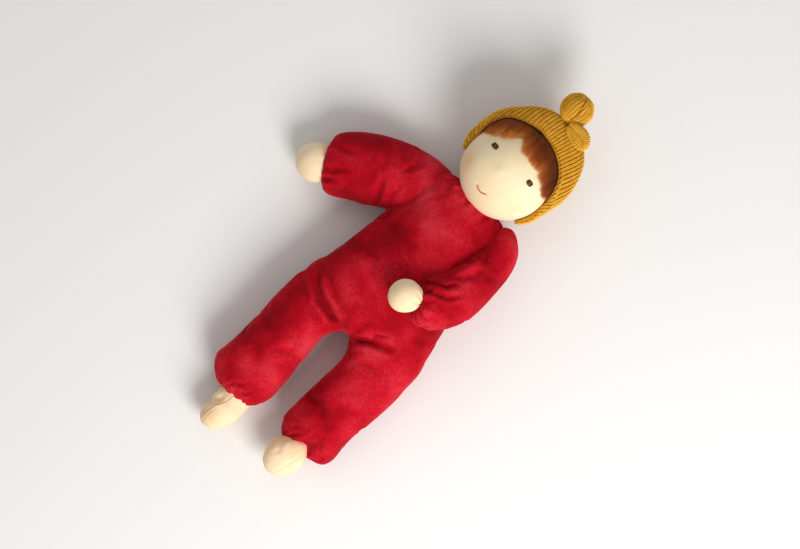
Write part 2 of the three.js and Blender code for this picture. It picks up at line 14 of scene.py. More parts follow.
import bpy
import numpy as np
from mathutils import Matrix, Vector


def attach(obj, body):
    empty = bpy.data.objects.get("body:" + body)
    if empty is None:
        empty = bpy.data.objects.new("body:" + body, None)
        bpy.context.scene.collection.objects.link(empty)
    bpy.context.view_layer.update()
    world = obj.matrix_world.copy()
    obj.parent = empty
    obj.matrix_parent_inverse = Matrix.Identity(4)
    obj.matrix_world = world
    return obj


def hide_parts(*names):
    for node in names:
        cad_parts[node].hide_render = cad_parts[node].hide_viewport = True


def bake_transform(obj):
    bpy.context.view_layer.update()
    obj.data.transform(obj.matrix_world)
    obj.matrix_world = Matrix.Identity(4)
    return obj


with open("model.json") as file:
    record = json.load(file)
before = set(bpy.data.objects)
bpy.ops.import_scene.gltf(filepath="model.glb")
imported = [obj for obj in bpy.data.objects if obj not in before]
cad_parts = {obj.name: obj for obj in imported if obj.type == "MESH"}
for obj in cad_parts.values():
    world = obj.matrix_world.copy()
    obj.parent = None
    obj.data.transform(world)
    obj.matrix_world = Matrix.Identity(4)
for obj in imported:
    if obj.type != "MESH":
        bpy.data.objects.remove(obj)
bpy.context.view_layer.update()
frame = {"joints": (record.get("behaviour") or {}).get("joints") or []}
millimetre = 0.001
hip_from_chest = np.array([-31.0, -99.0, 21.5])
hip_in_frame = next(joint["pos_m"] for joint in frame["joints"] if joint["name"] == "right_hip")
chest_in_frame = np.round(np.array(hip_in_frame) / millimetre - hip_from_chest, 3)

# %% [markdown]
# The camera
#
# The photograph looks straight down from well above at a doll lying aslant. One pixel is 0.8 mm at
# the doll's mid height, and with a distance of 2.4 m that gives the focal length. We could turn the doll
# instead, but the doll has to stay in the CAD's frame, so the camera is rolled.

# %% Camera
camera_height = 2400.0
mid_height = 25.0
mm_per_pixel = 0.8
picture_width = 800
aim = np.array([-2.96, -18.6])
roll = math.radians(49.0)

camera_data = bpy.data.cameras.new("camera")
camera_data.sensor_width = 36.0
camera_data.lens = (camera_height - mid_height) / mm_per_pixel / picture_width * camera_data.sensor_width
camera = bpy.data.objects.new("camera", camera_data)
bpy.context.scene.collection.objects.link(camera)
camera.location = [*((aim + chest_in_frame[:2]) * millimetre), camera_height * millimetre]
camera.rotation_euler = (0.0, 0.0, roll)
camera_data.clip_start = 0.01
bpy.context.scene.camera = camera
print("lens", round(camera_data.lens, 1), "mm")

# %% [markdown]
# Surfaces as grids
#
# Every soft piece here is a grid of points: rows run along the piece and columns run round it. Numpy
# works out all the points at once from the row and column values, and the grid's squares become the
# faces. Rows that close to a point are shut with a fan of triangles, so each piece is a sealed skin.

# %% Grids into meshes
def unit(vectors):
    """The same vectors, each scaled to a length of one."""
    return vectors / np.maximum(np.linalg.norm(vectors, axis=-1, keepdims=True), 1e-9)


def once_round(columns):
    """Angles at equal steps once round."""
    return np.linspace(0, 2 * np.pi, columns, endpoint=False)


def ring_ways(turn, first, second):
    """Directions first * cos(turn) + second * sin(turn), for an array of turns."""
    return np.cos(turn)[..., None] * first + np.sin(turn)[..., None] * second


def bell(gap, width):
    """The bell curve exp(-(gap / width)^2)."""
    return np.exp(-((gap / width) ** 2))


def make_piece(name, points):
    """A mesh object from one grid of points (rings, sides, 3), or from many (tubes, rings, sides, 3), in
    millimetres about the chest. Squares join the rings, and a fan of triangles from a pole in the
    middle shuts each end. The faces look outwards when the sides run anticlockwise as seen from the
    last ring."""
    points = points if points.ndim == 4 else points[None]
    count, rings, sides = points.shape[:3]
    poles = np.stack([points[:, 0].mean(1), points[:, -1].mean(1)], 1)
    every = np.concatenate([points.reshape(count, -1, 3), poles], 1).reshape(-1, 3)
    around = np.arange(sides)
    following = (around + 1) % sides
    low = (np.arange(rings - 1) * sides)[:, None]
    high = low + sides
    squares = np.stack([low + around, low + following, high + following, high + around], -1).reshape(-1, 4)
    top = (rings - 1) * sides
    first = np.stack([np.full(sides, rings * sides), following, around], -1)
    last = np.stack([np.full(sides, rings * sides + 1), top + around, top + following], -1)
    shift = (np.arange(count) * (rings * sides + 2))[:, None, None]
    squares, fans = squares + shift, np.concatenate([first, last]) + shift
    corners = np.concatenate([squares.ravel(), fans.ravel()])
    sizes = np.repeat([4, 3], [squares.size // 4, fans.size // 3])
    mesh = bpy.data.meshes.new(name)
    mesh.vertices.add(len(every))
    mesh.vertices.foreach_set("co", ((every + chest_in_frame) * millimetre).astype(np.float32).ravel())
    mesh.loops.add(len(corners))
    mesh.loops.foreach_set("vertex_index", corners.astype(np.int32))
    mesh.polygons.add(len(sizes))
    mesh.polygons.foreach_set("loop_start", (np.cumsum(sizes) - sizes).astype(np.int32))
    mesh.polygons.foreach_set("loop_total", sizes.astype(np.int32))
    mesh.polygons.foreach_set("use_smooth", np.full(len(sizes), True))
    mesh.update(calc_edges=True)
    mesh.validate()
    piece = bpy.data.objects.new(name, mesh)
    bpy.context.scene.collection.objects.link(piece)
    return piece


def lay_coordinate(piece, name, values):
    """Stores one number for each point of the piece, for its material to read."""
    attribute = piece.data.attributes.new(name, "FLOAT", "POINT")
    attribute.data.foreach_set("value", np.asarray(values, np.float32).ravel())


print("grids ready")

# %% [markdown]
# Smooth tables, lumps and folds
#
# A stuffed shape is easiest to write as a small table of widths along its length, with a smooth curve
# through the rows. Wool is never quite even, so a soft noise pushes the skin in and out by about a
# millimetre. A fold is a groove along a line drawn on the piece, with a low ridge on each side of it.

# %% Tables, noise and folds
def through(table, at):
    """Smooth curve through the rows of a table, whose first column is the place along: between two
    rows a cubic whose slopes are those of the straight line from the row before to the row after."""
    table = np.asarray(table, float)
    place, values = table[:, 0], table[:, 1:]
    slopes = np.gradient(values, place, axis=0)
    at = np.clip(np.asarray(at, float), place[0], place[-1])
    i = np.clip(np.searchsorted(place, at, side="right") - 1, 0, len(place) - 2)
    gap = (place[i + 1] - place[i])[..., None]
    t = (at - place[i])[..., None] / gap
    rest = 1 - t
    start = values[i] * (1 + 2 * t) * rest**2 + slopes[i] * gap * t * rest**2
    return start + values[i + 1] * t**2 * (3 - 2 * t) - slopes[i + 1] * gap * t**2 * rest


def lumps(points, size, seed):
    """Soft noise from -1 to 1: a random value at each corner of a lattice of cubes of that size, and
    a smooth blend of the eight corner values inside each cube."""
    cell = points / size + seed * 17.31
    base = np.floor(cell).astype(np.int64)
    t = cell - base
    t = t * t * (3 - 2 * t)
    total = np.zeros(points.shape[:-1])
    for corner in range(8):
        step = np.array([corner & 1, corner >> 1 & 1, corner >> 2 & 1])
        key = (base + step) @ np.array([73856093, 19349663, 83492791]) + seed * 2654435761
        key = (key ^ (key >> 13)) * 1274126177 & 0x7FFFFFFF
        key = (key ^ (key >> 15)) * 668265263 & 0x7FFFFFFF
        weight = np.prod(np.where(step, t, 1 - t), -1)
        total += weight * ((key ^ (key >> 11)) % 20011 / 10005 - 1)
    return total


def distance_to_line(points, line):
    """Shortest distance from each point to a line of straight stretches, and how far along it lies
    as a share of the line's length."""
    line = np.asarray(line, float)
    ends = np.linalg.norm(np.diff(line, axis=0), axis=1)
    total = ends.sum()
    best = np.full(points.shape[:-1], np.inf)
    along = np.zeros(points.shape[:-1])
    walked = 0.0
    for start, end, length in zip(line[:-1], line[1:], ends):
        share = np.clip((points - start) @ (end - start) / length**2, 0, 1)
        gap = np.linalg.norm(points - start - share[..., None] * (end - start), axis=-1)
        nearer = gap < best
        best = np.where(nearer, gap, best)
        along = np.where(nearer, (walked + share * length) / total, along)
        walked += length
    return best, along


def fold(points, line, depth, width, ridge=0.35):
    """How far a fold pushes the skin outwards: a groove of that depth along the line, with the bell
    curve exp(-(distance/width)^2), fading to nothing at its ends, and a ridge at twice the width."""
    gap, along = distance_to_line(points, line)
    fade = np.clip(np.minimum(along, 1 - along) / 0.18, 0, 1) ** 0.7
    return depth * fade * (ridge * bell(gap - 2 * width, width) - bell(gap, width))


def outward(points):
    """Unit normals of a closed grid: the cross product of the way round and the way along."""
    around = np.roll(points, -1, 1) - np.roll(points, 1, 1)
    return unit(np.cross(around, np.gradient(points, axis=0)))


print("a lump at the chest", round(float(lumps(np.zeros((1, 3)), 20.0, 1)[0]), 3))

# %% [markdown]
# Stuffed tubes
#
# The body, the sleeves and the legs are all tubes of velour, filled tight enough to be plump but with
# flat backs where they lie. There are two ways to write them. A sleeve is an oval carried along a bent
# line. The body and the legs lie nearly straight, and their outlines are known from above, so they are
# ovals between a left and a right edge. An exponent above 2 fills the corners of an oval, as wool does.

# %% Ovals along a line
def full_oval(columns, plump):
    """Cosine and sine once round, each raised to 2/plump with its sign kept, so that the oval made
    from them is |c|^plump + |s|^plump = 1, and the turns themselves."""
    turn = once_round(columns)
    c, s = np.cos(turn), np.sin(turn)
    return np.sign(c) * np.abs(c) ** (2 / plump), np.sign(s) * np.abs(s) ** (2 / plump), turn


def crowded(rows, crowd):
    """Shares from 0 to 1 that lie closer together at both ends, by half a cosine wave."""
    even = np.linspace(0, 1, rows)
    return (1 - crowd) * even + crowd * (1 - np.cos(np.pi * even)) / 2


def lie_flat(points, rest=0.0):
    """Presses a skin softly onto the surface that it lies on: a height h near the surface becomes the
    soft maximum of h and the rest height, (h + r + sqrt((h - r)^2 + softness^2)) / 2."""
    height = points[..., 2]
    softness, press_depth = 1.4, 12.0
    pressed = (height + rest + np.sqrt((height - rest) ** 2 + softness**2)) / 2
    points = points.copy()
    points[..., 2] = np.where(height < rest + press_depth, pressed, height)
    return points


def stuffed_tube(line, sizes, rows, columns, plump=2.3, crowd=0.6, rest=0.0):
    """A grid of points round a line. line has rows of (share, x, y, z) and sizes rows of (share, half
    width, half depth). A point is centre + side*width*c + up*depth*s for the full oval's c and s."""
    share = crowded(rows, crowd)
    centre = through(line, share)
    ahead = unit(np.gradient(centre, share, axis=0))
    side = unit(np.cross([0.0, 0.0, 1.0], ahead))
    up = np.cross(ahead, side)
    wide, deep = through(sizes, share).T
    c, s, turn = full_oval(columns, plump)
    points = (
        centre[:, None]
        + side[:, None] * (wide[:, None] * c)[..., None]
        + up[:, None] * (deep[:, None] * s)[..., None]
    )
    return lie_flat(points, rest), share, turn


def upright_ovals(table, rows, columns, plump=2.4, inset=0.0):
    """Ovals in upright planes across the doll. A table row is (y, left, right, front, back), and each
    oval fills the space between its edges, drawn in by the inset. The first and last y don't change."""
    table = np.array([(i / (len(table) - 1), *row) for i, row in enumerate(table)])
    lengths = np.abs(np.diff(table[:, 1]))
    table[:, 0] = np.concatenate([[0], np.cumsum(lengths)]) / lengths.sum()
    y, left, right, front, back = through(table, crowded(rows, 0.4)).T
    headwards = np.sign(table[-1, 1] - table[0, 1])
    c, s, turn = full_oval(columns, plump)
    wide = (right - left) / 2 - inset
    deep = (front - back) / 2 - inset
    x = ((left + right) / 2)[:, None] - headwards * wide[:, None] * c
    z = ((front + back) / 2)[:, None] + deep[:, None] * s
    return lie_flat(np.stack([x, np.broadcast_to(y[:, None], x.shape), z], -1), inset), turn


print("stuffed tubes ready")

# %% [markdown]
# Wool, gathers and the pull of the stuffing
#
# Wool pushes the velour out unevenly, and a gathering thread draws it into pleats. Those two are
# formulas. The slack cloth between them isn't: we let Blender's cloth work it out. A coarse copy of
# the grid is blown up from inside with its gathered ends held, and the way that each of its points
# moved is read back between the rows and columns of the fine grid.

# %% Wool, gathers and slack cloth
def wool_lumps(points, seed, coarse=1.5, fine=0.55):
    """How far the wool pushes the cloth out: soft noise at 30, 13 and 6 mm."""
    return (
        coarse * lumps(points, 30.0, seed)
        + fine * lumps(points, 13.0, seed + 5)
        + 0.3 * fine * lumps(points, 6.0, seed + 9)
    )


def gathers(points, turn, from_thread, count, reach, high, seed):
    """Pleats that fan out from a gathering thread: high * cos(count * turn + wandering) with sharp
    valleys, fading with distance from the thread as exp(-(distance / reach)). Soft noise lets the
    pleats wander, and gives each of them a reach of its own."""
    wander = 2.6 * lumps(points, 17.0, seed)
    wave = np.cos(count * turn[None, :] + wander)
    own = 1 + 0.55 * lumps(np.stack([np.cos(turn), np.sin(turn), 0 * turn], -1) * 30, 9.0, seed + 1)
    fade = np.exp(-np.maximum(from_thread, 0) / (reach * own[None, :]))
    return high * fade * (1.6 * np.sqrt((wave + 1.02) / 2) - 0.95)


def read_between(coarse, coarse_rows, rows, columns):
    """Values on a coarse grid (rows, columns, 3), read at every row and column of a fine one, by the
    same smooth curves that the tables use. The columns run round, so three are added on each side."""
    down = through(np.column_stack([coarse_rows, coarse.reshape(len(coarse), -1)]), np.arange(rows))
    down = down.reshape(rows, coarse.shape[1], 3).swapaxes(0, 1)
    step = columns / coarse.shape[1]
    places = np.arange(-3, coarse.shape[1] + 3) * step
    around = np.concatenate([down[-3:], down, down[:3]]).reshape(len(places), -1)
    fine = through(np.column_stack([places, around]), np.arange(columns))
    return fine.reshape(columns, rows, 3).swapaxes(0, 1)


def slack(points, held, growth, most):
    """How far slack cloth moves when the piece is stuffed. A copy of every third row and column is
    simulated as cloth that is larger than its form by the growth, with pressure inside and the held
    rows (weights from 0 to 1) pinned. A move is capped at the given number of millimetres."""
    frames, skip = 14, 3
    rows, columns = points.shape[:2]
    picked = np.unique(np.append(np.arange(0, rows, skip), rows - 1))
    coarse = points[picked][:, ::skip]
    piece = make_piece("slack_cloth", coarse)
    group = piece.vertex_groups.new(name="held")
    weights = np.repeat(np.broadcast_to(held, (rows,))[picked], coarse.shape[1])
    for weight in np.unique(weights):
        group.add(np.flatnonzero(weights == weight).tolist(), float(weight), "REPLACE")
    group.add([len(weights), len(weights) + 1], 1.0, "REPLACE")
    cloth = piece.modifiers.new("cloth", "CLOTH")
    settings = cloth.settings
    settings.vertex_group_mass = "held"
    settings.effector_weights.gravity = 0.0
    settings.use_pressure = True
    settings.uniform_pressure_force = 4.0
    settings.shrink_min = -growth
    settings.quality = 6
    settings.mass = 0.25
    settings.tension_stiffness = settings.compression_stiffness = 12.0
    settings.bending_stiffness = 0.2
    settings.air_damping = 2.0
    cloth.point_cache.frame_start = 1
    cloth.point_cache.frame_end = frames
    cloth.collision_settings.use_collision = False
    scene = bpy.context.scene
    for step in range(1, frames + 1):
        scene.frame_set(step)
    seen = piece.evaluated_get(bpy.context.evaluated_depsgraph_get()).data
    moved = np.empty(len(seen.vertices) * 3, np.float32)
    seen.vertices.foreach_get("co", moved)
    moved = moved.reshape(-1, 3)[: len(weights)].reshape(coarse.shape) / millimetre - chest_in_frame
    scene.frame_set(1)
    bpy.data.objects.remove(piece)
    move = moved - coarse
    far = np.linalg.norm(move, axis=-1, keepdims=True)
    move *= most * np.tanh(far / most) / np.maximum(far, 1e-9)
    print("slack cloth moved", round(float(far.mean()), 2), "mm, most", round(float(far.max()), 1))
    return read_between(move, picked.astype(float), rows, columns)


def sewn(name, points, push, held, growth, most, seed):
    """A velour piece from its plain form, how far the wool and folds push it, and its slack cloth.
    The stuffing swells it by about 1.2 mm, so it starts that much smaller. Painted shade follows the
    same push: darker in a fold, with a painted highlight where it stands out, over a soft noise in the
    pile's own tone."""
    swell = 1.2
    form = lie_flat(points + outward(points) * (push - swell)[..., None])
    form = lie_flat(form + slack(form, held, growth, most))
    piece = make_piece(name, form)
    # soft noise in the pile's own tone, plus painted shade in the folds and painted highlight on their
    # ridges
    nap_and_fold_shade = lumps(form, 26.0, seed + 41) + 0.45 * np.clip(push, -3, 2.5)
    lay_coordinate(piece, "nap_and_fold_shade", np.append(nap_and_fold_shade.ravel(), [0, 0]))
    print(name, len(piece.data.polygons), "faces")
    return piece


# %% [markdown]
# The velour body
#
# The body is a pillow with straight sides that widens to the seat and is gathered round the neck. Its
# outline is known from above at a dozen heights. Its lower end is drawn up beside the crotch, where
# the legs are sewn on along a slanting line.

# %% Velour body
# y, left edge, right edge, front, back, from the seat to the neck
body_table = [
    (-82.4, -24, 36, 27, 12), (-80.8, -38, 46, 36.5, 4), (-78, -46.5, 51, 43.4, 1), (-72, -51.4, 56, 47, 0),
    (-65, -53.8, 59.8, 49.6, 0), (-56, -54.4, 62.4, 52.8, 0), (-46, -53.2, 60.4, 56, 0),
    (-36, -52.2, 57.4, 58.5, 0), (-15, -49.5, 51.2, 60, 0), (7, -48.6, 48.6, 58, 0),
    (29, -48.2, 48, 55, 0), (48, -48.4, 45, 52.5, 0.6),
    (59, -45, 41, 50, 2.6), (66.2, -35, 33, 47, 7), (69.8, -23, 21, 42, 14),
]
# x and how far the seam lies above the crotch there
seam_table = [
    (-58, 14), (-48, 11), (-39, 5.5), (-30, 2.6), (-12, 1.6), (5, 1), (10, 2.5), (27, 13), (37, 16.5),
    (60, 19), (70, 19),
]


def body_grid(rows, columns, inset=0.0):
    """The body's ovals, with the lower end drawn up by the seam's height at each place across it, more
    on the left hip, fading out to nothing 34 mm above the seam."""
    points, turn = upright_ovals(body_table, rows, columns, 2.5, inset)
    x, y = points[..., 0], points[..., 1]
    seam = through(seam_table, x)[..., 0]
    near = np.clip((-47 - y) / 34, 0, 1)
    points[..., 1] = y + seam * near * near * (3 - 2 * near)
    return points, turn


body_rows, body_columns, held_rows = 190, 240, 5
collar_y = body_table[-1][0]
body_plain, body_turn = body_grid(body_rows, body_columns)
to_collar = collar_y - body_plain[..., 1]
body_push = wool_lumps(body_plain, 3)
body_push += gathers(body_plain, body_turn, to_collar, 30, 8.5, 1.5, 2)
body_folds = [
    ([(-46.5, 0, 40), (-48, 14, 44), (-47, 28, 45), (-44, 42, 48), (-40, 52, 48)], 2.2, 3.0),
    ([(26, 71, 44), (27.2, 64, 48), (26.4, 56, 51), (25, 46, 54)], 2.8, 1.7),
    ([(24, 44, 53), (22, 30, 56), (19, 14, 58)], 1.1, 3.0),
    ([(-47, -69, 44), (-38, -75.6, 45), (-26, -79, 44), (-8, -80.6, 42)], 3.0, 2.4),
    ([(-52, -62, 42), (-38, -68, 48), (-24, -72, 49), (-6, -74, 48)], -2.8, 3.0),
    ([(6, -80, 42), (18, -72, 45), (30, -66, 47), (39, -60, 49)], 2.8, 2.4),
    ([(8, -70, 49), (18, -62, 52), (28, -57, 53), (38, -54, 54)], -1.6, 3.4),
    ([(62, -28, 42), (50, -38, 52), (38, -46, 56)], 1.2, 3.4),
    ([(6, -80, 40), (7, -70, 47), (8, -58, 52)], 0.9, 2.6),
    ([(-50, 0, 30), (-38, 6, 50), (-22, 4, 57), (-8, 8, 58)], 1.0, 4.0),
    ([(-52, -30, 34), (-40, -22, 54), (-20, -26, 60)], 0.8, 5.0),
    ([(54, -40, 40), (36, -34, 58), (16, -40, 61), (0, -34, 61)], 1.0, 5.0),
    ([(-32, 62, 44), (-29, 52, 50), (-31, 40, 53)], 0.5, 2.6),
    ([(-12, 64, 48), (-12, 54, 52)], 0.8, 2.2),
    ([(6, 64, 48), (7, 52, 53)], 0.7, 2.2),
]
for line, depth, width in body_folds:
    body_push += fold(body_plain, line, depth, width)
body_held = np.where(np.arange(body_rows) >= body_rows - held_rows, 1.0, 0.0)
velour_body = sewn("velour_body", body_plain, body_push, body_held, 0.04, 4.0, 1)

# %% [markdown]
# The sleeves
#
# The right sleeve lies out to the side and the left one is bent over the belly. A real sleeve is cut
# flat, stuffed, and drawn together over the wrist with a thread, so it is widest near the elbow and
# puckers at the cuff. Each starts inside the body, where the armhole seam holds it.

# %% Sleeves
def from_end(points, end):
    """How far each row lies from the row nearest to a place, walked along the middle of the tube."""
    centre = points.mean(1)
    walked = np.concatenate([[0], np.cumsum(np.linalg.norm(np.diff(centre, axis=0), axis=1))])
    nearest = np.argmin(np.linalg.norm(centre - np.asarray(end, float), axis=1))
    return (walked[nearest] - walked)[:, None] * np.ones(points.shape[1])


def suit_limb(name, points, turn, seed, end, folds, puckers, high, reach, growth=0.05, most=3.0):
    """A limb of the suit: wool lumps, pleats at its end, the folds given for it, and slack cloth that
    is held at both ends."""
    push = wool_lumps(points, seed, 1.1, 0.5)
    to_end = from_end(points, end)
    push += gathers(points, turn, to_end, puckers, reach, high, seed + 2)
    for fold_line, depth, width in folds:
        push += fold(points, fold_line, depth, width)
    held = np.where((to_end[:, 0] < 3) | (np.arange(len(points)) < 4), 1.0, 0.0)
    return sewn(name, points, push, held, growth, most, seed)


right_sleeve_line = [
    (0, -26, 36.5, 23), (0.1, -36, 36, 22.5), (0.25, -50, 34.5, 21.5), (0.42, -64, 30, 20.5),
    (0.6, -79, 20.5, 20),
    (0.78, -93.5, 9.5, 19), (0.91, -104, 0.5, 18), (1, -110.5, -4.5, 17),
]
right_sleeve_sizes = [
    (0, 25.5, 14), (0.05, 29.4, 18), (0.12, 30.6, 20), (0.25, 30, 21.2), (0.42, 29.4, 21),
    (0.6, 29.6, 20.6),
    (0.78, 28.6, 19.2), (0.88, 26.6, 18), (0.95, 23.4, 16.4), (0.98, 20.6, 15), (1, 16.6, 13),
]
right_sleeve_plain, _, right_sleeve_turn = stuffed_tube(right_sleeve_line, right_sleeve_sizes, 150, 168)
right_sleeve = suit_limb(
    "right_sleeve_velour", right_sleeve_plain, right_sleeve_turn, 11, (-111, -5, 17),
    [
        ([(-50, 8, 34), (-56, 18, 42), (-58, 32, 43)], 0.7, 2.6),
        ([(-58, 1, 30), (-64, 12, 40), (-70, 22, 42)], 1.4, 2.4),
        ([(-104, -16, 26), (-96, -11, 34), (-86, -8, 38)], 1.6, 2.2),
        ([(-98, -14, 34), (-84, -6, 39), (-68, 6, 40)], -1.5, 5.0),
        ([(-110, -12, 26), (-100, -2, 36), (-90, 6, 39)], 1.0, 2.4),
        ([(-121, 8, 24), (-110, 12, 34), (-98, 18, 38)], 1.1, 2.6),
        ([(-88, 42, 26), (-80, 32, 38), (-74, 24, 41)], 1.0, 4.0),
        ([(-66, 58, 28), (-62, 48, 38), (-64, 38, 42)], 0.9, 3.0),
    ],
    puckers=10, high=0.3, reach=7.0,
)
left_sleeve_line = [
    (0, 27, 67.4, 30), (0.08, 31.8, 60.8, 35), (0.2, 36.5, 52, 39.5), (0.36, 39, 34, 43.5),
    (0.54, 39, 13, 49.5),
    (0.7, 36.5, -3, 57), (0.82, 32, -13.5, 63.5), (0.92, 27, -20, 69), (1, 22.5, -22.8, 72),
]
left_sleeve_sizes = [
    (0, 5, 8), (0.02, 7.4, 11), (0.06, 10, 14), (0.12, 12.2, 16), (0.2, 14.2, 17.6), (0.36, 18, 18.2),
    (0.54, 21.6, 17.6),
    (0.7, 22.6, 16.8), (0.82, 21.6, 15.6), (0.9, 19.4, 14), (0.96, 15.6, 11.8), (1, 10.5, 8.4),
]
left_sleeve_plain, _, left_sleeve_turn = stuffed_tube(left_sleeve_line, left_sleeve_sizes, 160, 156)
left_sleeve = suit_limb(
    "left_sleeve_velour", left_sleeve_plain, left_sleeve_turn, 23, (23.5, -22, 71),
    [
        ([(46, -28, 60), (38, -25, 74), (27, -24, 79)], 2.0, 2.0),
        ([(50, -18, 62), (40, -16, 74), (28, -18, 80)], 2.0, 2.0),
        ([(12, -8, 62), (18, -4, 72), (28, 3, 73), (32, 12, 68)], 2.0, 2.0),
        ([(16, -14, 70), (24, -9, 78), (36, -2, 76), (42, 8, 68)], 1.6, 2.0),
        ([(21, 26, 50), (28, 30, 58), (33, 42, 58)], 0.6, 3.0),
        ([(59, 6, 50), (50, 2, 66), (40, -4, 73)], 1.2, 3.0),
        ([(23, 6, 62), (28, 22, 62), (31, 40, 60)], -1.4, 3.4),
        ([(58, 40, 46), (48, 34, 58), (40, 28, 62)], 0.9, 3.4),
        ([(30, 66, 44), (34, 56, 52), (36, 46, 56)], 1.2, 2.2),
    ],
    puckers=9, high=1.5, reach=9.0, growth=0.03, most=2.0,
)

# %% [markdown]
# The legs
#
# Each leg is as wide as half the seat from the start, so the suit's side runs straight on into it, and
# the fold at the hip is a real valley between two round forms. A thread gathers it over the ankle, and
# the left hem arches over the instep.

# %% Legs
# y, left edge, right edge, front, back, from inside the body to the hem
right_leg_table = [
    (-44, -38, -14, 28, 12), (-49, -46, -4, 37, 5), (-56, -52.4, 2, 42.4, 1), (-64, -56, 4.5, 44.6, 0),
    (-74, -57, 7, 44.8, 0), (-81, -57.4, 8.4, 44.4, 0), (-84, -57.4, 6, 44.6, 0), (-88, -57.4, 2.4, 45, 0),
    (-92, -57.4, -0.4, 45.2, 0), (-98, -57.2, -2.4, 45.6, 0), (-112, -56.2, -2.6, 45.2, 0),
    (-128, -55, -0.4, 44.4, 0), (-144, -53.4, 2.6, 43, 0), (-155, -53, 4, 41.4, 0),
    (-164, -52.6, 4, 39.4, 0),
    (-171, -51, 2.4, 36.8, 1), (-177, -47, -0.2, 34, 2.4), (-182.4, -41, -4.4, 30.6, 4),
    (-185.4, -35.5, -10.6, 27.5, 6),
]
left_leg_table = [
    (-38, 26, 50, 30, 12), (-44, 16, 57, 39, 5), (-52, 8, 63, 46, 1), (-60, 5, 66.6, 48, 0),
    (-70, 3.2, 68.4, 47, 0), (-78, 2.4, 69, 46, 0), (-81, 2.6, 69.4, 45.6, 0), (-84, 5, 69.8, 45.4, 0),
    (-88, 8, 70.2, 45.6, 0), (-93, 11.2, 70.6, 45.6, 0), (-99, 13.2, 71, 45.6, 0),
    (-112, 14.8, 71.4, 45.2, 0),
    (-128, 16.8, 71, 44.4, 0), (-144, 18.6, 71.8, 43, 0), (-153, 19.4, 73.6, 41, 0),
    (-159.4, 19.8, 73.4, 38.4, 0),
    (-165, 21.4, 70.6, 35, 1), (-170, 25, 63.6, 30, 3), (-174.6, 30, 57, 26, 6),
]
leg_rows, leg_columns = 170, 176
right_leg_plain, right_leg_turn = upright_ovals(right_leg_table, leg_rows, leg_columns)
# this leg lies a little heavier, so it is pressed down a second time
right_leg_plain = lie_flat(right_leg_plain)
right_leg = suit_limb(
    "right_leg_velour", right_leg_plain, right_leg_turn, 31, (-24, -184, 17),
    [
        ([(-50, -69, 41), (-40, -76.4, 44), (-30, -80.8, 45), (-18, -82.4, 45), (-6, -83, 43)], 5.0, 3.2),
        ([(-14, -92, 45), (-24, -91, 46), (-36, -87, 46), (-48, -82, 43)], 1.2, 3.6),
        ([(-4, -122, 28), (-14, -126, 41), (-26, -134, 44)], 1.2, 3.6),
        ([(-56, -120, 30), (-44, -124, 42), (-32, -120, 45)], 1.0, 4.0),
        ([(-52, -146, 30), (-38, -142, 41), (-24, -148, 42)], 1.0, 4.0),
        ([(-28, -183, 24), (-25, -176, 34), (-17, -170, 38)], 1.5, 1.7),
        ([(-15, -183, 24), (-14, -176, 33), (-8, -170, 35)], 1.6, 1.6),
        ([(-20, -183, 24), (-19, -178, 33)], 1.2, 1.3),
    ],
    puckers=15, high=0.9, reach=5.0,
)
left_leg_plain, left_leg_turn = upright_ovals(left_leg_table, leg_rows, leg_columns)
near_hem = np.clip((-146 - left_leg_plain[..., 1]) / 22, 0, 1) ** 2
in_front = np.clip(left_leg_plain[..., 2] / 22 - 0.6, 0, 1)
hem_width, hem_waves = 5.4, [(51.6, 7.0), (38.6, -2.4)]
arch = sum(high * bell(left_leg_plain[..., 0] - x, hem_width) for x, high in hem_waves)
left_leg_plain[..., 1] += near_hem * in_front * arch
left_leg = suit_limb(
    "left_leg_velour", left_leg_plain, left_leg_turn, 37, (46, -175, 17),
    [
        ([(8, -82, 41), (19, -73.5, 45), (31, -67.6, 47), (40, -63, 48)], 3.0, 3.0),
        ([(24, -90, 45), (32, -86, 46), (42, -81, 47), (54, -80, 45)], 1.1, 3.6),
        ([(70, -120, 30), (56, -118, 42), (40, -126, 44)], 1.1, 4.0),
        ([(20, -138, 28), (30, -134, 41), (44, -140, 43)], 1.1, 3.6),
        ([(47.5, -166, 30), (48, -158, 38), (47.5, -150, 41)], 1.3, 1.8),
        ([(36, -174, 24), (37, -167, 33), (40, -161, 37)], 1.3, 1.6),
    ],
    puckers=15, high=0.9, reach=5.0,
)

# %% [markdown]
# The head
#
# A doll maker ties a ball of wool and pulls fine tricot over it. From the front it is nearly a true
# circle, with a small nose made of a tiny knot of wool under the skin. A ball is a function of two
# angles, so the head is one grid with its poles at the crown and the neck, and the nose and the soft
# cheeks are bell-shaped rises added along the radius.

# %% Head ball
head_middle = np.array([-8.0, 99.0, 43.8])
head_radius = 38.4
neck_way = np.array([0.0, 0.95353, 0.30131])
brim_way = np.array([0.0, -0.19937, 0.97992])


def ball_ways(rows, columns, pole):
    """Unit directions over a ball: rows of equal height angle from the far pole to the given one."""
    pole = unit(np.asarray(pole, float))
    east = unit(np.cross([0.31, 0.2, 1.0], pole))
    lift = np.linspace(-np.pi / 2, np.pi / 2, rows + 2)[1:-1, None, None]
    return np.sin(lift) * pole + np.cos(lift) * ring_ways(once_round(columns), east, np.cross(pole, east))


def face_point(across, up, radius=head_radius):
    """The place on the ball straight behind a place seen from the front."""
    return head_middle + np.array([across, up, math.sqrt(radius**2 - across**2 - up**2)])


def bump(points, place, width):
    """A bell curve round a place."""
    return bell(np.linalg.norm(points - place, axis=-1), width)


head_ways = ball_ways(170, 220, neck_way)
head_points = head_middle + head_ways * head_radius
mouth_middle, mouth_half, mouth_up, mouth_bow = -2.9, 5.2, -25.6, 1.8
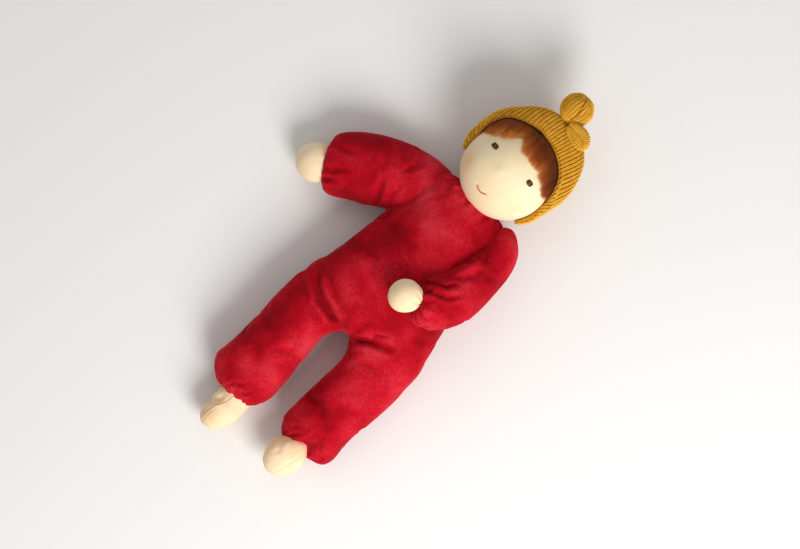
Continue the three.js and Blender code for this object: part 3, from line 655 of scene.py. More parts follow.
# across, up, how far it stands out, and how wide: the nose, cheeks, eye hollows and mouth corners
face_rises = [
    (-4.7, -5.4, 0.62, 3.8), (-24, -16, 0.6, 12), (18, -15, 0.6, 12), (-16, 6, -0.3, 9), (9, 6, -0.3, 9),
    (mouth_middle - mouth_half, mouth_up, -0.4, 2.4), (mouth_middle + mouth_half, mouth_up, -0.4, 2.4),
]
head_rise = 0.3 * lumps(head_points, 22.0, 61)
for across, up, high, width in face_rises:
    head_rise += high * bump(head_points, face_point(across, up), width)
head_points = head_middle + head_ways * (head_radius + head_rise)[..., None]
head_ball = make_piece("head_tricot", head_points)
print("head", len(head_ball.data.polygons), "faces, nose", round(float(head_rise.max()), 2), "mm")

# %% [markdown]
# The stitched face
#
# The eyes are satin stitch: parallel threads laid side by side into a small rounded square. The mouth
# is one curved line of coral thread. A painted patch would be flat, so each thread is a thin tube that
# follows the ball: its two ends dive under the skin and its middle stands on it.

# %% Eyes and mouth
thread_sides = 6


def thin_tubes(lines, outwards, thick, turns, flat=1.0):
    """Thin tubes along many lines (tubes, steps, 3) that lie on a surface with these outward ways. Each
    ring is thick * (cos * side + flat * sin * up), with side square to the line along the surface."""
    ahead = unit(np.gradient(lines, axis=1))
    side = unit(np.cross(ahead, outwards))
    up = np.cross(side, ahead)
    ring = ring_ways(turns, side[:, :, None], flat * up[:, :, None])
    return lines[:, :, None] + ring * thick[..., None, None]


def threads(lines, radius):
    """Six-sided threads on the face, whose radius falls to a third at both ends."""
    thick = np.full(lines.shape[:2], radius)
    thick[:, [0, -1]] *= 0.35
    return thin_tubes(lines, lines - head_middle, thick, np.pi - once_round(thread_sides))


def satin_eye(name, across, up, wide, tall, strands=11, steps=9):
    """Upright threads side by side across a rounded square: each is as tall as the square is there,
    tall * (1 - |x|^3.2)^(1/3.2), and bows outwards by a sine from end to end."""
    x = np.linspace(-1, 1, strands)[:, None]
    y = np.linspace(-1, 1, steps)
    height = (1 - np.abs(x * 0.93) ** 3.2) ** (1 / 3.2)
    flat_x = across + x * wide / 2 * np.ones(steps)
    flat_y = up + y * height * tall / 2 + 0.16 * np.sin(7 * x)
    stand = head_radius + 0.05 + 0.55 * np.sqrt(np.maximum(1 - y**2, 0)) - 0.25 * x**2
    depth = np.sqrt(stand**2 - flat_x**2 - flat_y**2)
    lines = head_middle + np.stack([flat_x, flat_y, depth], -1)
    eye = make_piece(name, threads(lines, wide / strands * 0.62))
    lay_coordinate(eye, "middle", np.repeat(1 - np.abs(x), steps * thread_sides + 2))
    return eye


left_eye = satin_eye("left_eye_stitch", 17.7, 5.8, 4.8, 4.7)
right_eye = satin_eye("right_eye_stitch", -22.1, 4.7, 5.0, 4.7)

mouth_share = np.linspace(-1, 1, 25)
mouth_x = mouth_middle + mouth_half * mouth_share
mouth_y = mouth_up - mouth_bow * (1 - mouth_share**2) + 0.3 * mouth_share
mouth_lines = []
for offset in (-0.3, 0.1):
    stand = head_radius + 0.05 + 0.24 * np.sqrt(np.maximum(1 - mouth_share**4, 0))
    y = mouth_y + offset * np.sqrt(np.maximum(1 - mouth_share**2, 0))
    mouth_lines.append(head_middle + np.stack([mouth_x, y, np.sqrt(stand**2 - mouth_x**2 - y**2)], -1))
mouth = make_piece("mouth_stitch", threads(np.array(mouth_lines), 0.35))
print("eyes and mouth sewn")

# %% [markdown]
# The neck
#
# Under the chin the head's tricot is bound tightly with thread, and the bound stem goes down inside
# the collar. It hardly shows, but it must be there when the head nods, so it is a short tube that
# waists in under the winding.

# %% Neck and its winding
neck_foot = np.array([-8.0, 49.0, 28.0])


def ring_sides(way):
    """Two ways square to a way and to each other."""
    side = unit(np.cross([0.3, 0.1, 1.0], way))
    return side, np.cross(way, side)


def wound(name, line, first, second, radius):
    """Wound thread as a round tube: each ring is radius * (cos * first + sin * second)."""
    return make_piece(name, line[:, None] + radius * ring_ways(once_round(7), first[:, None], second))


neck_side, neck_up = ring_sides(neck_way)
# along the neck, and the radius there
stem_table = [
    (0, -9, 3), (0.1, -8, 8), (0.25, -3, 11), (0.45, 4, 10.8), (0.55, 7.5, 9.2), (0.65, 11, 11.2),
    (0.8, 15, 13.5), (1, 20, 14),
]
stem_along, stem_radius = through(stem_table, np.linspace(0, 1, 40)).T[..., None, None]
stem_ring = ring_ways(once_round(60), neck_side, neck_up)
stem_points = neck_foot + neck_way * stem_along + stem_ring * stem_radius
neck_stem = make_piece("neck_tricot", stem_points)
winding_turns, winding_radius, winding_start, winding_long, thread_radius = 5, 10.2, 5.4, 4.2, 0.5
winding_t = np.linspace(0, 2 * np.pi * winding_turns, 48 * winding_turns)
winding_up = winding_start + winding_long * winding_t / winding_t[-1]
winding_line = neck_foot + neck_way * winding_up[:, None]
winding_line += winding_radius * ring_ways(winding_t, neck_side, neck_up)
winding_side = np.cross(neck_way, unit(np.gradient(winding_line, axis=0)))
neck_winding = wound("neck_winding", winding_line, winding_side, -neck_way, thread_radius)
print("neck bound with", winding_turns, "turns")

# %% [markdown]
# The hands
#
# A hand is a ball of tricot, drawn into the cuff where the thread puckers it. Sculpting would do, but
# a ball whose radius is changed by a few smooth terms is easier to adjust.

# %% Hands
def tricot_ball(name, middle, radii, pole, puckers, seed, rows=110, columns=130):
    """A ball scaled by three radii, with wool lumps, and puckers of 0.45 mm round its pole, where the
    cuff holds it: cos(puckers * turn) fading with the angle from the pole."""
    ways = ball_ways(rows, columns, pole)
    points = middle + ways * np.asarray(radii, float)
    from_pole = np.arccos(np.clip(ways @ unit(np.asarray(pole)), -1, 1))
    wave = np.cos(puckers * once_round(columns) + 2.2 * lumps(points, 11.0, seed))
    rise = 0.45 * wave * np.exp(-(from_pole**4))
    rise += 0.45 * lumps(points, 12.0, seed + 3) + 0.15 * lumps(points, 5.0, seed + 4)
    piece = make_piece(name, lie_flat(points + ways * rise[..., None]))
    print(name, len(piece.data.polygons), "faces")
    return piece


right_hand_middle = np.array([-115.2, -10.4, 15.0])
left_hand_middle = np.array([12.4, -26.4, 74.8])
right_hand = tricot_ball(
    "right_hand_tricot", right_hand_middle, (16.2, 16.2, 14.8), (0.72, 0.69, 0.1), 11, 71
)
left_hand = tricot_ball(
    "left_hand_tricot", left_hand_middle, (13.2, 13.8, 12.8), (0.94, 0.33, -0.05), 9, 75
)


# %% [markdown]
# The feet
#
# A real foot is a tube of tricot sewn shut at the toe, so it is a stuffed tube with round ends. The
# crisp line over the instep is a seam. A drawn line would lie flat, so the skin is raised along it.

# %% Feet
def tricot_foot(name, line, sizes, seam, dent, seed, dent_deep, seam_strong):
    """A stuffed tube with round ends, a crisp seam ridge 0.25 mm high along a line over the instep, a
    shallow ditch beside it, and a dent."""
    points, _, _ = stuffed_tube(line, sizes, 190, 200, plump=2.05, crowd=0.9)
    flat = np.array([1.0, 1.0, 0.0])
    gap, along = distance_to_line(points * flat, [np.array(place) * flat for place in seam])
    fade = seam_strong * np.clip(np.minimum(along, 1 - along) / 0.1, 0, 1)
    fade = fade * np.clip((points[..., 2] - points[..., 2].mean(1, keepdims=True)) / 4, 0, 1)
    push = 0.25 * fade * bell(gap, 0.5) - 0.2 * fade * bell(gap - 1.1, 0.7)
    push += fold(points, dent, dent_deep, 2.6)
    push += 0.7 * lumps(points, 13.0, seed) + 0.2 * lumps(points, 5.0, seed + 1)
    piece = make_piece(name, lie_flat(points + outward(points) * push[..., None]))
    lay_coordinate(piece, "seam", np.append((fade * bell(gap, 0.45)).ravel(), [0, 0]))
    print(name, len(piece.data.polygons), "faces")
    return piece


right_foot = tricot_foot(
    "right_foot_tricot",
    [(0, -15.8, -172, 15), (0.25, -15.8, -181, 15.2), (0.6, -14.8, -197, 15.8), (1, -17.8, -217, 16)],
    [
        (0, 2, 2), (0.06, 9, 8), (0.16, 12.8, 12.4), (0.35, 13.9, 13.6), (0.62, 13.0, 13.2),
        (0.84, 10.4, 10.8),
        (0.95, 6.6, 6.6), (1, 1.2, 1.2),
    ],
    [
        (-16.4, -178, 29), (-16.8, -189.5, 29), (-18.4, -194.4, 29), (-20.2, -198, 28), (-21, -204, 26),
        (-21.2, -209, 25), (-20, -216, 20),
    ],
    [(-21, -189, 28), (-24.5, -196, 25), (-28, -200, 18), (-29, -202, 10)],
    81, 1.7, 1.0,
)
left_foot = tricot_foot(
    "left_foot_tricot",
    [(0, 49.4, -163, 20.6), (0.25, 48.2, -170, 21.4), (0.6, 45.6, -184.4, 22), (1, 44.6, -201.8, 24)],
    [
        (0, 1.6, 1.6), (0.05, 3.8, 5), (0.14, 6.6, 8.8), (0.3, 11.6, 13.4), (0.5, 15.2, 14.6),
        (0.7, 14.6, 13.2),
        (0.86, 10.8, 10), (0.95, 6.4, 6), (1, 1.2, 1.2),
    ],
    [(55.4, -170, 31), (55, -177, 32), (54, -186, 32), (52.3, -194, 31), (50, -200, 30)],
    [(37, -174, 28), (38, -181, 32), (41, -186, 35)],
    85, 1.0, 0.5,
)

# %% [markdown]
# The mohair wig
#
# The wig is a cap of brushed mohair: a dense felted base, and thousands of fine wavy strands that give
# the soft edge of the fringe. Hair particles would look right but they don't export, so the strands
# are three-sided tubes. Each one is a straight line on the front view, laid on the ball, lifted a
# little in the middle and waved sideways by a sine.

# %% Wig base and strands
hair_radius = 40.5
# where the fringe ends, as seen in the photograph
hairline = np.array([
    (-52, 109), (-44.3, 109.6), (-39.3, 112.4), (-34.3, 115.2), (-29, 118), (-26, 121.4), (-22.6, 127.2),
    (-20.6, 128.6),
    (-17.4, 124.6), (-13.4, 120), (-9, 121.2), (-4, 121.2), (2, 120.4), (8, 119.6), (14, 117), (19, 113.8),
    (24, 110.8), (28, 111.6), (34, 113),
])
hair_height = 78.0
hairline = aim + (hairline - aim) * (camera_height - hair_height) / (camera_height - mid_height)
wig_pole = np.array([0.0, 0.6, -0.8])
wig_reach = math.radians(85.4)


def thick_hair(ways):
    """The mohair is up to 3 mm thicker over the doll's right temple: a bell curve of the compass
    angle, 3 * exp(-((angle + 47) / 24)^2), that fades towards the face."""
    compass = np.degrees(np.arctan2(ways[..., 0], ways[..., 1]))
    return 3.0 * bell(compass + 47, 24) * (1 - ways[..., 2] ** 2)


def cap_grid(way, edge_angle, rows, columns):
    """Directions over a cap round a way: rows at equal steps of the angle from it up to edge_angle,
    which differs from column to column."""
    way = unit(np.asarray(way, float))
    side = unit(np.cross(way, [0.0, 0.0, 1.0]))
    angle = (np.linspace(1, 0, rows + 1)[:-1, None] * edge_angle)[..., None]
    return np.cos(angle) * way + np.sin(angle) * ring_ways(once_round(columns), side, np.cross(side, way))


def wall_between(outer, inner):
    """A closed wall from an outer and an inner grid that both run from the edge to a pole: the inner
    one is walked from the pole to the edge first, so that the two meet at the edge."""
    return np.concatenate([inner[::-1], outer])[:, ::-1]


# the wig ends 9 degrees higher over the nape, clear of the collar when the head turns
nape_clear = math.radians(9)
wig_rows, wig_columns, wig_inner_radius = 110, 240, 38.75
wig_edge = wig_reach - nape_clear * np.maximum(-np.sin(once_round(wig_columns)), 0) ** 2
wig_ways = cap_grid(wig_pole, wig_edge, wig_rows, wig_columns)
wig_rise = 0.7 * thick_hair(wig_ways)
wig_rise += 0.4 * lumps(wig_ways * 40, 3.0, 91) + 0.25 * lumps(wig_ways * 40, 1.2, 92)
wig_outer = lie_flat(head_middle + wig_ways * (hair_radius + wig_rise)[..., None], 2.6)
wig_inner = head_middle + wig_ways * wig_inner_radius
wig_base = make_piece("wig_base", wall_between(wig_outer, wig_inner))

dice = np.random.default_rng(7)
strand_points = 7


def strand_tubes(lines, radius):
    """Three-sided tubes along many hair lines, tapering to a quarter of their thickness at the tip."""
    thick = radius[:, None] * np.linspace(1, 0.25, strand_points)
    return thin_tubes(lines, lines - head_middle, thick, np.array([0.5, 2.594, 4.689]))


def waved(flat, root_high, tip_high, bow, wave, turns, phase):
    """Hair lines laid on the ball: flat is (count, 2, 2), the root and the tip on the front view. The
    height above the ball goes from root to tip with a sine bow, and the line waves sideways."""
    share = np.linspace(0, 1, strand_points)[None, :]
    path = flat[:, :1] * (1 - share[..., None]) + flat[:, 1:] * share[..., None]
    way = unit(flat[:, 1] - flat[:, 0])
    across = np.stack([-way[:, 1], way[:, 0]], -1)
    sway = share * np.sin(turns[:, None] * share * 2 * np.pi + phase[:, None])
    path = path + across[:, None] * (wave[:, None] * sway)[..., None]
    high = root_high[:, None] * (1 - share**1.5) + tip_high[:, None] * share**1.5
    high = head_radius + high + bow[:, None] * np.sin(np.pi * share)
    flat_gap = path - head_middle[:2]
    reach = np.minimum(np.linalg.norm(flat_gap, axis=-1), high - 0.4)
    flat_gap *= (reach / np.maximum(np.linalg.norm(flat_gap, axis=-1), 1e-9))[..., None]
    depth = np.sqrt(np.maximum(high**2 - reach**2, 0.01))
    return np.concatenate([head_middle[:2] + flat_gap, (head_middle[2] + depth)[..., None]], -1)


def hair_values(piece, tip_values, own_values):
    """Lays on each strand how far a point is from root to tip, and a shade of the strand's own."""
    one = np.append(np.repeat(tip_values, 3), [tip_values[0], tip_values[-1]])
    lay_coordinate(piece, "tip", np.tile(one, len(own_values)))
    lay_coordinate(piece, "own", np.repeat(own_values, len(one)))


fringe_count, clump_count, root_radius = 4600, 64, 40.2
clump = dice.integers(0, clump_count, fringe_count)
clump_angle = np.linspace(math.radians(22), math.radians(155), clump_count)
clump_angle += dice.normal(0, 0.012, clump_count)
clump_shade = dice.uniform(0, 1, clump_count)
root_angle = clump_angle[clump] + dice.normal(0, 0.03, fringe_count)
root_ways = ring_ways(root_angle, np.array([1.0, 0, 0]), np.array([0, 1.0, 0]))
root_thick = thick_hair(root_ways)
root_x, root_y = head_middle[:2, None] + (root_radius + root_thick) * root_ways.T[:2]
root_y -= dice.uniform(0, 3.0, fringe_count)
parting = np.clip((root_x + 17.5) / 22, -1, 1)
clump_tip = dice.normal(0, 1.8, clump_count)[clump]
strays = np.where(dice.uniform(0, 1, fringe_count) < 0.2, 2.2, 0.5)
tip_x = root_x * 0.92 - 1.2 + 2.6 * parting + clump_tip + strays * dice.normal(0, 1, fringe_count)
tip_y = np.interp(tip_x, hairline[:, 0], hairline[:, 1]) + dice.gamma(1.8, 1.9, fringe_count) - 2.4
tip_y = np.minimum(tip_y + 1.1 * dice.normal(0, 1, clump_count)[clump], root_y - 1.0)
fringe_flat = np.stack([np.stack([root_x, root_y], -1), np.stack([tip_x, tip_y], -1)], 1)
fringe_lines = waved(
    fringe_flat, dice.uniform(0.9, 2.7, fringe_count) + root_thick, dice.uniform(0.15, 1.1, fringe_count),
    dice.uniform(0.0, 1.2, fringe_count),
    dice.normal(0, 1.3, clump_count)[clump] + dice.normal(0, 0.8, fringe_count),
    dice.uniform(0.6, 1.5, clump_count)[clump], dice.uniform(0, 6.28, clump_count)[clump],
)
fringe_thick = dice.uniform(0.09, 0.2, fringe_count)
fringe = make_piece("wig_fringe", strand_tubes(fringe_lines, fringe_thick))
to_right = np.clip((-5 - root_x) / 25, -1, 1)
fringe_own = 0.42 * clump_shade[clump] + 0.34 * dice.uniform(0, 1, fringe_count)
fringe_own += 0.44 * (1 + to_right) / 2 - 0.08
hair_values(fringe, np.linspace(0, 1, strand_points), fringe_own)

# %% [markdown]
# The hair over the back of the head
#
# Under the hat the mohair is pressed flat. The felted base alone would look bald at its edge, so
# short strands lie on it, each an arc that runs away from the crown.

# %% Strands over the back of the head
crown_count = 4200
strand_angle = math.radians(13)
cover_side = unit(np.cross(wig_pole, [1.0, 0.0, 0.0]))
cover_turn = dice.uniform(0, 2 * np.pi, crown_count)
cover_end = wig_reach - math.radians(14) - nape_clear * np.maximum(np.cos(cover_turn), 0) ** 2
cover_start = np.arccos(1 - dice.uniform(0, 1, crown_count) * (1 - np.cos(cover_end)))
cover_share = np.linspace(0, 1, strand_points)
cover_angle = (cover_start[:, None] + strand_angle * cover_share)[..., None]
cover_bend = (dice.normal(0, 0.06, crown_count) / np.sin(cover_start + 0.1))[:, None] * cover_share
cover_ring = ring_ways(cover_turn[:, None] + cover_bend, cover_side, np.cross(wig_pole, cover_side))
cover_lines = np.cos(cover_angle) * wig_pole + np.sin(cover_angle) * cover_ring
cover_lift = hair_radius - 0.3 + 0.6 * np.sin(np.pi * cover_share)
cover_lines = lie_flat(head_middle + cover_lines * cover_lift[:, None], 2.4)
cover_thick = dice.uniform(0.12, 0.22, crown_count)
cover = make_piece("wig_back_strands", strand_tubes(cover_lines, cover_thick))
hair_values(cover, np.linspace(0.2, 0.75, strand_points), dice.uniform(0, 1, crown_count))
print("strands", fringe_count, "in the fringe and", crown_count, "over the back")

# %% [markdown]
# The knitted hat
#
# The hat is a tube in one by one rib, pulled over the head and drawn together at the crown. A knit
# rib is a column of V-shaped stitches that stands out from a column that sinks in. A bump map would
# be flat at the silhouette, so the wall itself is ribbed and every V has two real legs of yarn.

# %% Hat wall
crown_angle = math.radians(9)
pole_back = math.radians(34)
rib_pole = np.array([
    math.sin(crown_angle) * math.cos(pole_back), math.cos(crown_angle) * math.cos(pole_back),
    -math.sin(pole_back),
])
pole_side = unit(np.cross(rib_pole, [0.0, 0.0, 1.0]))
pole_up = np.cross(pole_side, rib_pole)
rib_count = 84
hat_wall = 2.3
# degrees clockwise from straight up, and how far the hat's outline stands from the head's middle
outline = np.array([
    (-180, 40.2), (-122, 40.2), (-106, 41), (-97, 42.2), (-84, 43.4), (-70, 46), (-57, 49.2), (-42, 51.8),
    (-23, 56.8),
    (-8, 60.6), (8, 61.6), (22, 61.6), (34, 59.8), (45, 56), (58, 52.2), (67, 49.6), (82, 45), (97, 42.8),
    (111, 42.2),
    (119, 41.2), (130, 40.2), (180, 40.2),
])


def hat_inside_reach(ways):
    """How far the inside of the hat stands from the middle of the head: close to the skin where the
    face shows, and clear of the wig elsewhere, with a smooth step between."""
    over_hair = np.clip((ways @ wig_pole + 0.2) / 0.14, 0, 1)
    return head_radius + 0.6 + (2.7 + thick_hair(ways)) * over_hair * over_hair * (3 - 2 * over_hair)


def hat_reach(ways):
    """How far the outside of the knit stands: the inside and the wall, and the slack of the crown from
    the outline's table, which fades towards the forehead as 1 - f^1.5 and to the back as 1 - z^2."""
    compass = np.degrees(np.arctan2(ways[..., 0], ways[..., 1]))
    plain = hat_inside_reach(ways) + hat_wall
    slack_out = through(outline, compass)[..., 0] - plain
    to_face = np.clip(ways[..., 2] / 0.27, 0, 1)
    to_back = np.clip(-ways[..., 2], 0, 1)
    return plain + slack_out * (1 - to_face**1.5) * (1 - to_back**2)


def pole_ways(angle, turn):
    """Directions at an angle from the rib pole, turned round it."""
    ring = ring_ways(turn, pole_side, pole_up)
    return np.cos(angle)[..., None] * rib_pole + np.sin(angle)[..., None] * ring


# degrees clockwise from straight up, and how far the brim's edge is seen from the head's middle
opening = np.array([
    (-75, 39.6), (-68, 40.3), (-57, 43.3), (-49, 44), (-41, 43.5), (-29, 42.5), (-17, 41.9), (1, 41.2),
    (17, 41),
    (33, 40.7), (46, 40.6), (63, 39.4), (76, 37.8), (80, 37.6),
])


def seen(points):
    """Where the camera sees a point, measured at half the doll's height."""
    nearer = (camera_height - mid_height) / (camera_height - points[..., 2:])
    return aim + (points[..., :2] - aim) * nearer


def brim_angles(columns):
    """The angle from the pole at which each column ends. Over the forehead that is where the camera
    sees the opening's edge. Elsewhere it is 10.4 mm before the head's middle, square to the brim, or
    far enough down the nape, about 12 mm on the doll's right and 21 mm on its left. The edge is then
    evened out."""
    trial = np.linspace(0.2, 2.9, 1200)
    turn = once_round(columns)
    ways = pole_ways(trial[:, None] + 0 * turn, turn + 0 * trial[:, None])
    reach = hat_inside_reach(ways)
    gap = seen(head_middle + ways * reach[..., None]) - seen(head_middle)
    compass = np.degrees(np.arctan2(gap[..., 0], gap[..., 1]))
    over_face = np.hypot(gap[..., 0], gap[..., 1]) < np.interp(compass, opening[:, 0], opening[:, 1])
    over_face &= ways[..., 2] * reach > 7
    ahead = np.where((compass > -70) & (compass < 76), over_face, ways @ brim_way * (reach + 1) > 10.4)
    nape = 16.8 + 0.115 * ways[..., 0] * reach
    past = ahead | (-(ways @ neck_way) * (reach + 1) > nape)
    first = trial[np.argmax(past, 0)]
    window = np.hanning(columns // 18)
    padded = np.concatenate([first, first, first])
    return np.convolve(padded, window / window.sum(), "same")[columns : 2 * columns]


def rib_wave(turn, count):
    """Cross-section of the rib: a rounded crest and a narrow valley, from 1 to -1."""
    return 2 * np.sqrt(np.abs(np.cos(count * turn / 2))) - 1


hat_columns = rib_count * 8
hat_rows = 72
hat_edge = brim_angles(hat_columns)
hat_turn = once_round(hat_columns)
hat_share = np.linspace(0, 1, hat_rows + 1)[:-1][:, None]
hat_ways = pole_ways(hat_edge[None] * (1 - hat_share), hat_turn[None] + 0 * hat_share)


def hat_slack(ways, share):
    """The knit's soft unevenness, and how it rolls in at the brim."""
    soft = 0.8 * lumps(ways * 44, 16.0, 51) + 0.3 * lumps(ways * 44, 8.0, 52)
    return soft - 0.7 * bell(share, 0.02)


drawn = 0.25 + 0.75 * np.clip((1 - hat_share) / 0.2, 0, 1)
hat_outside = hat_reach(hat_ways) + 0.7 * rib_wave(hat_turn, rib_count)[None] * drawn
hat_outside += hat_slack(hat_ways, hat_share) - 0.5
hat_inside = hat_inside_reach(hat_ways)
hat_inside += 0.35 * (hat_reach(hat_ways) - hat_inside - hat_wall)
hat_inside = np.minimum(hat_inside, hat_outside - 0.5)
hat_wall_piece = make_piece("hat_rib_wall", wall_between(
    lie_flat(head_middle + hat_ways * hat_outside[..., None], 0.3),
    lie_flat(head_middle + hat_ways * hat_inside[..., None], 2.0),
))
brim_least, brim_most = np.degrees([hat_edge.min(), hat_edge.max()]).round()
print("hat wall", len(hat_wall_piece.data.polygons), "faces, brim", brim_least, "to", brim_most, "degrees")


# %% [markdown]
# The stitches
#
# A knit stitch is a V of two legs of yarn. A repeated picture would blur close up, and one modelled
# stitch copied thousands of times would not follow the hat, so each leg is a short bent tube that
# is laid on the surface by its turn round the hat and its share of the way up.

# %% Stitches
def stitch_legs(name, place, ribs, rows, spread, radius):
    """Two yarn legs for every stitch. place(turn, share) gives the surface point and its outward way
    for arrays of turn and share. A leg runs from the foot of its V up to one side, bowed outwards,
    as a four-sided tube of three rings, and the height of each ring is laid on it for the colour's
    painted shade."""
    rib = np.arange(ribs)[:, None, None]
    row = np.arange(rows)[None, :, None]
    hand = np.array([-1.0, 1.0]) + 0.0 * (rib + row)
    width = 2 * np.pi / ribs
    lines, ways = [], []
    for t, out in ((0.0, 0.0), (0.5, 1.0), (1.0, 0.15)):
        turn = rib * width + hand * width * spread * (0.12 + 0.88 * t)
        share = np.clip((row + 0.1 + 1.1 * t) / rows + 0.0 * turn, 0, 1)
        point, way = place(turn, share)
        lines.append(point + way * (radius * (0.35 + 0.9 * out)))
        ways.append(way)
    lines, ways = (np.stack(parts, -2).reshape(-1, 3, 3) for parts in (lines, ways))
    thick = np.broadcast_to(radius * np.array([0.7, 1.0, 0.6]), lines.shape[:2])
    yarn_wide, yarn_flat = 0.95, 0.75 / 0.95
    piece = make_piece(name, thin_tubes(lines, ways, yarn_wide * thick, -once_round(4), yarn_flat))
    # painted shade: each leg is darker at both ends, where it dives under, and lightest in its middle
    stands = np.append(np.repeat([0.1, 1.0, 0.3], 4), [0.0, 0.1])
    lay_coordinate(piece, "stands", np.tile(stands, len(lines)))
    return piece


def on_hat(turn, share):
    """A place on the hat's outside: share runs from the brim, 0, to the crown, 1."""
    edge = np.interp(np.mod(turn, 2 * np.pi), hat_turn, hat_edge, period=2 * np.pi)
    ways = pole_ways(edge * (1 - share), turn)
    reach = hat_reach(ways) + hat_slack(ways, share) + 0.05
    return lie_flat(head_middle + ways * reach[..., None], 1.0), ways


hat_stitches = stitch_legs("hat_stitches", lambda t, s: on_hat(t, s * 0.94), rib_count, 46, 0.36, 0.62)
print("hat stitches", len(hat_stitches.data.polygons), "faces")

# %% [markdown]
# The hat's ball and its folded end
#
# Above the crown the same tube is stuffed to a ball and tied off with yarn, and what is left of it is
# folded down beside the ball. The ball's ribs run round it from the tie, and the fold is a soft
# sleeve that bends over.

# %% Ball, tie and folded end
ball_seat = np.array([-10.6, 159.73, 43.8])
ball_middle = np.array([-9.34, 172.9, 43.8])
ball_radius = 12.9
ball_ribs = 26
ball_seam = np.array([
    (-12.6, 187, 46), (-11, 183, 52), (-8.6, 178.6, 55.5), (-7.1, 173.6, 56.8), (-6.2, 168.6, 56),
    (-7, 164, 53),
])
ball_seam = ball_middle + 12.6 * unit(ball_seam - ball_middle)
ball_across, ball_up, ball_back = np.array([1.0, 0, 0]), np.array([0, 1.0, 0]), np.array([0, 0, -1.0])


def on_ball(turn, share):
    """A place on the ball, from the tie at the bottom, share 0, round to the top, share 1. A seam is
    drawn in down its front."""
    angle = (np.pi * (0.07 + 0.9 * share))[..., None]
    ways = np.sin(angle) * ring_ways(turn, ball_across, ball_back) - np.cos(angle) * ball_up
    seam_gap, _ = distance_to_line(ball_middle + ways * ball_radius, ball_seam)
    reach = ball_radius + 0.5 * lumps(ways * 13, 7.0, 55) - 2.2 * bell(seam_gap, 0.9)
    return ball_middle + ways * reach[..., None], ways


ball_turns = once_round(ball_ribs * 10)
turn_grid, share_grid = np.meshgrid(ball_turns, np.linspace(0, 1, 70))
ball_points, ball_out = on_ball(turn_grid, share_grid)
ball_rib = 0.6 * rib_wave(turn_grid, ball_ribs) * np.sin(np.pi * share_grid) ** 0.5
ball_points = ball_points + ball_out * ball_rib[..., None]
neck_rows = np.linspace(0, 1, 6)[:-1, None]
neck_ring = ring_ways(ball_turns, ball_across, ball_back)
neck_points = ball_seat + (2.6 * neck_rows[..., None] - 1.5) * ball_up
neck_points = neck_points + neck_ring * (3.6 - 0.5 * neck_rows)[..., None]
hat_ball = make_piece("hat_ball_wall", np.concatenate([neck_points, ball_points]))
ball_stitches = stitch_legs("hat_ball_stitches", on_ball, ball_ribs, 22, 0.38, 0.62)


def shade_along(piece, name, line, width):
    """Lowers a laid value towards 0 near a line, by 1 - exp(-(gap / width)^2)."""
    count = len(piece.data.vertices)
    places, values = np.empty(count * 3, np.float32), np.empty(count, np.float32)
    piece.data.vertices.foreach_get("co", places)
    places = places.reshape(-1, 3) / millimetre - chest_in_frame
    piece.data.attributes[name].data.foreach_get("value", values)
    gap, _ = distance_to_line(places, line)
    piece.data.attributes[name].data.foreach_set("value", values * (1 - bell(gap, width)))


# painted shade on the ball's stitches along its seam groove
shade_along(ball_stitches, "stands", ball_seam, 1.0)

tie_turns, tie_radius, yarn_radius = 2, 4.3, 0.55
tie_t = np.linspace(0, 2 * np.pi * tie_turns, 72)
tie_out = ring_ways(tie_t, ball_across, ball_back)
tie_line = ball_seat + tie_radius * tie_out + (0.2 + 0.6 * tie_t / 6.28)[:, None] * ball_up
hat_tie = wound("hat_ball_yarn", tie_line, tie_out, ball_up, yarn_radius)

tail_line = [
    (0, -4.5, 161, 49.5), (0.14, 0, 162.6, 50.5), (0.3, 6.5, 163.8, 50.5), (0.44, 12.6, 162, 50),
    (0.54, 15.6, 158.8, 50),
    (0.64, 13.8, 156, 50.5), (0.78, 7, 156.2, 51), (0.9, 0.5, 157.6, 51), (1, -4, 158.4, 50.5),
]
tail_sizes = [
    (0, 1.6, 2.4), (0.1, 2.5, 3.8), (0.3, 3.1, 4.8), (0.46, 3.0, 5.0), (0.56, 2.8, 5.0), (0.68, 3.0, 5.0),
    (0.85, 2.9, 4.4),
    (0.96, 2.2, 3.2), (1, 1.2, 1.8),
]
tail_ribs = 14
tail_points, tail_share, tail_turn = stuffed_tube(tail_line, tail_sizes, 110, tail_ribs * 10, 2.1, 0.3)
tail_rise = 0.5 * rib_wave(tail_turn, tail_ribs)[None] * np.sin(np.pi * tail_share)[:, None] ** 0.4
tail_rise = tail_rise + 0.4 * lumps(tail_points, 6.0, 58)
tail_points = tail_points + outward(tail_points) * tail_rise[..., None]
hat_tail = make_piece("hat_tail_wall", tail_points)


def on_tail(turn, share):
    """A place on the folded end, read from its grid between the nearest rows and columns."""
    rows, columns = tail_points.shape[:2]
    row = np.clip(share * (rows - 1), 0, rows - 1.001)
    column = np.mod(turn / (2 * np.pi) * columns, columns)
    r, c = row.astype(int), column.astype(int)
    fr, fc = (row - r)[..., None], (column - c)[..., None]
    c2 = (c + 1) % columns
    low = tail_points[r, c] * (1 - fc) + tail_points[r, c2] * fc
    high = tail_points[r + 1, c] * (1 - fc) + tail_points[r + 1, c2] * fc
    point = low * (1 - fr) + high * fr
    return point, unit(point - tail_points[r].mean(-2))


tail_stitches = stitch_legs("hat_tail_stitches", on_tail, tail_ribs, 34, 0.4, 0.5)
print("stitch faces", len(ball_stitches.data.polygons), "and", len(tail_stitches.data.polygons))

# %% [markdown]
# The wool inside
#
# Each skin holds carded wool. It doesn't show, but the real doll has it and the CAD has a solid for
# each, so every filling is made as the same form drawn in, plain and a little uneven.

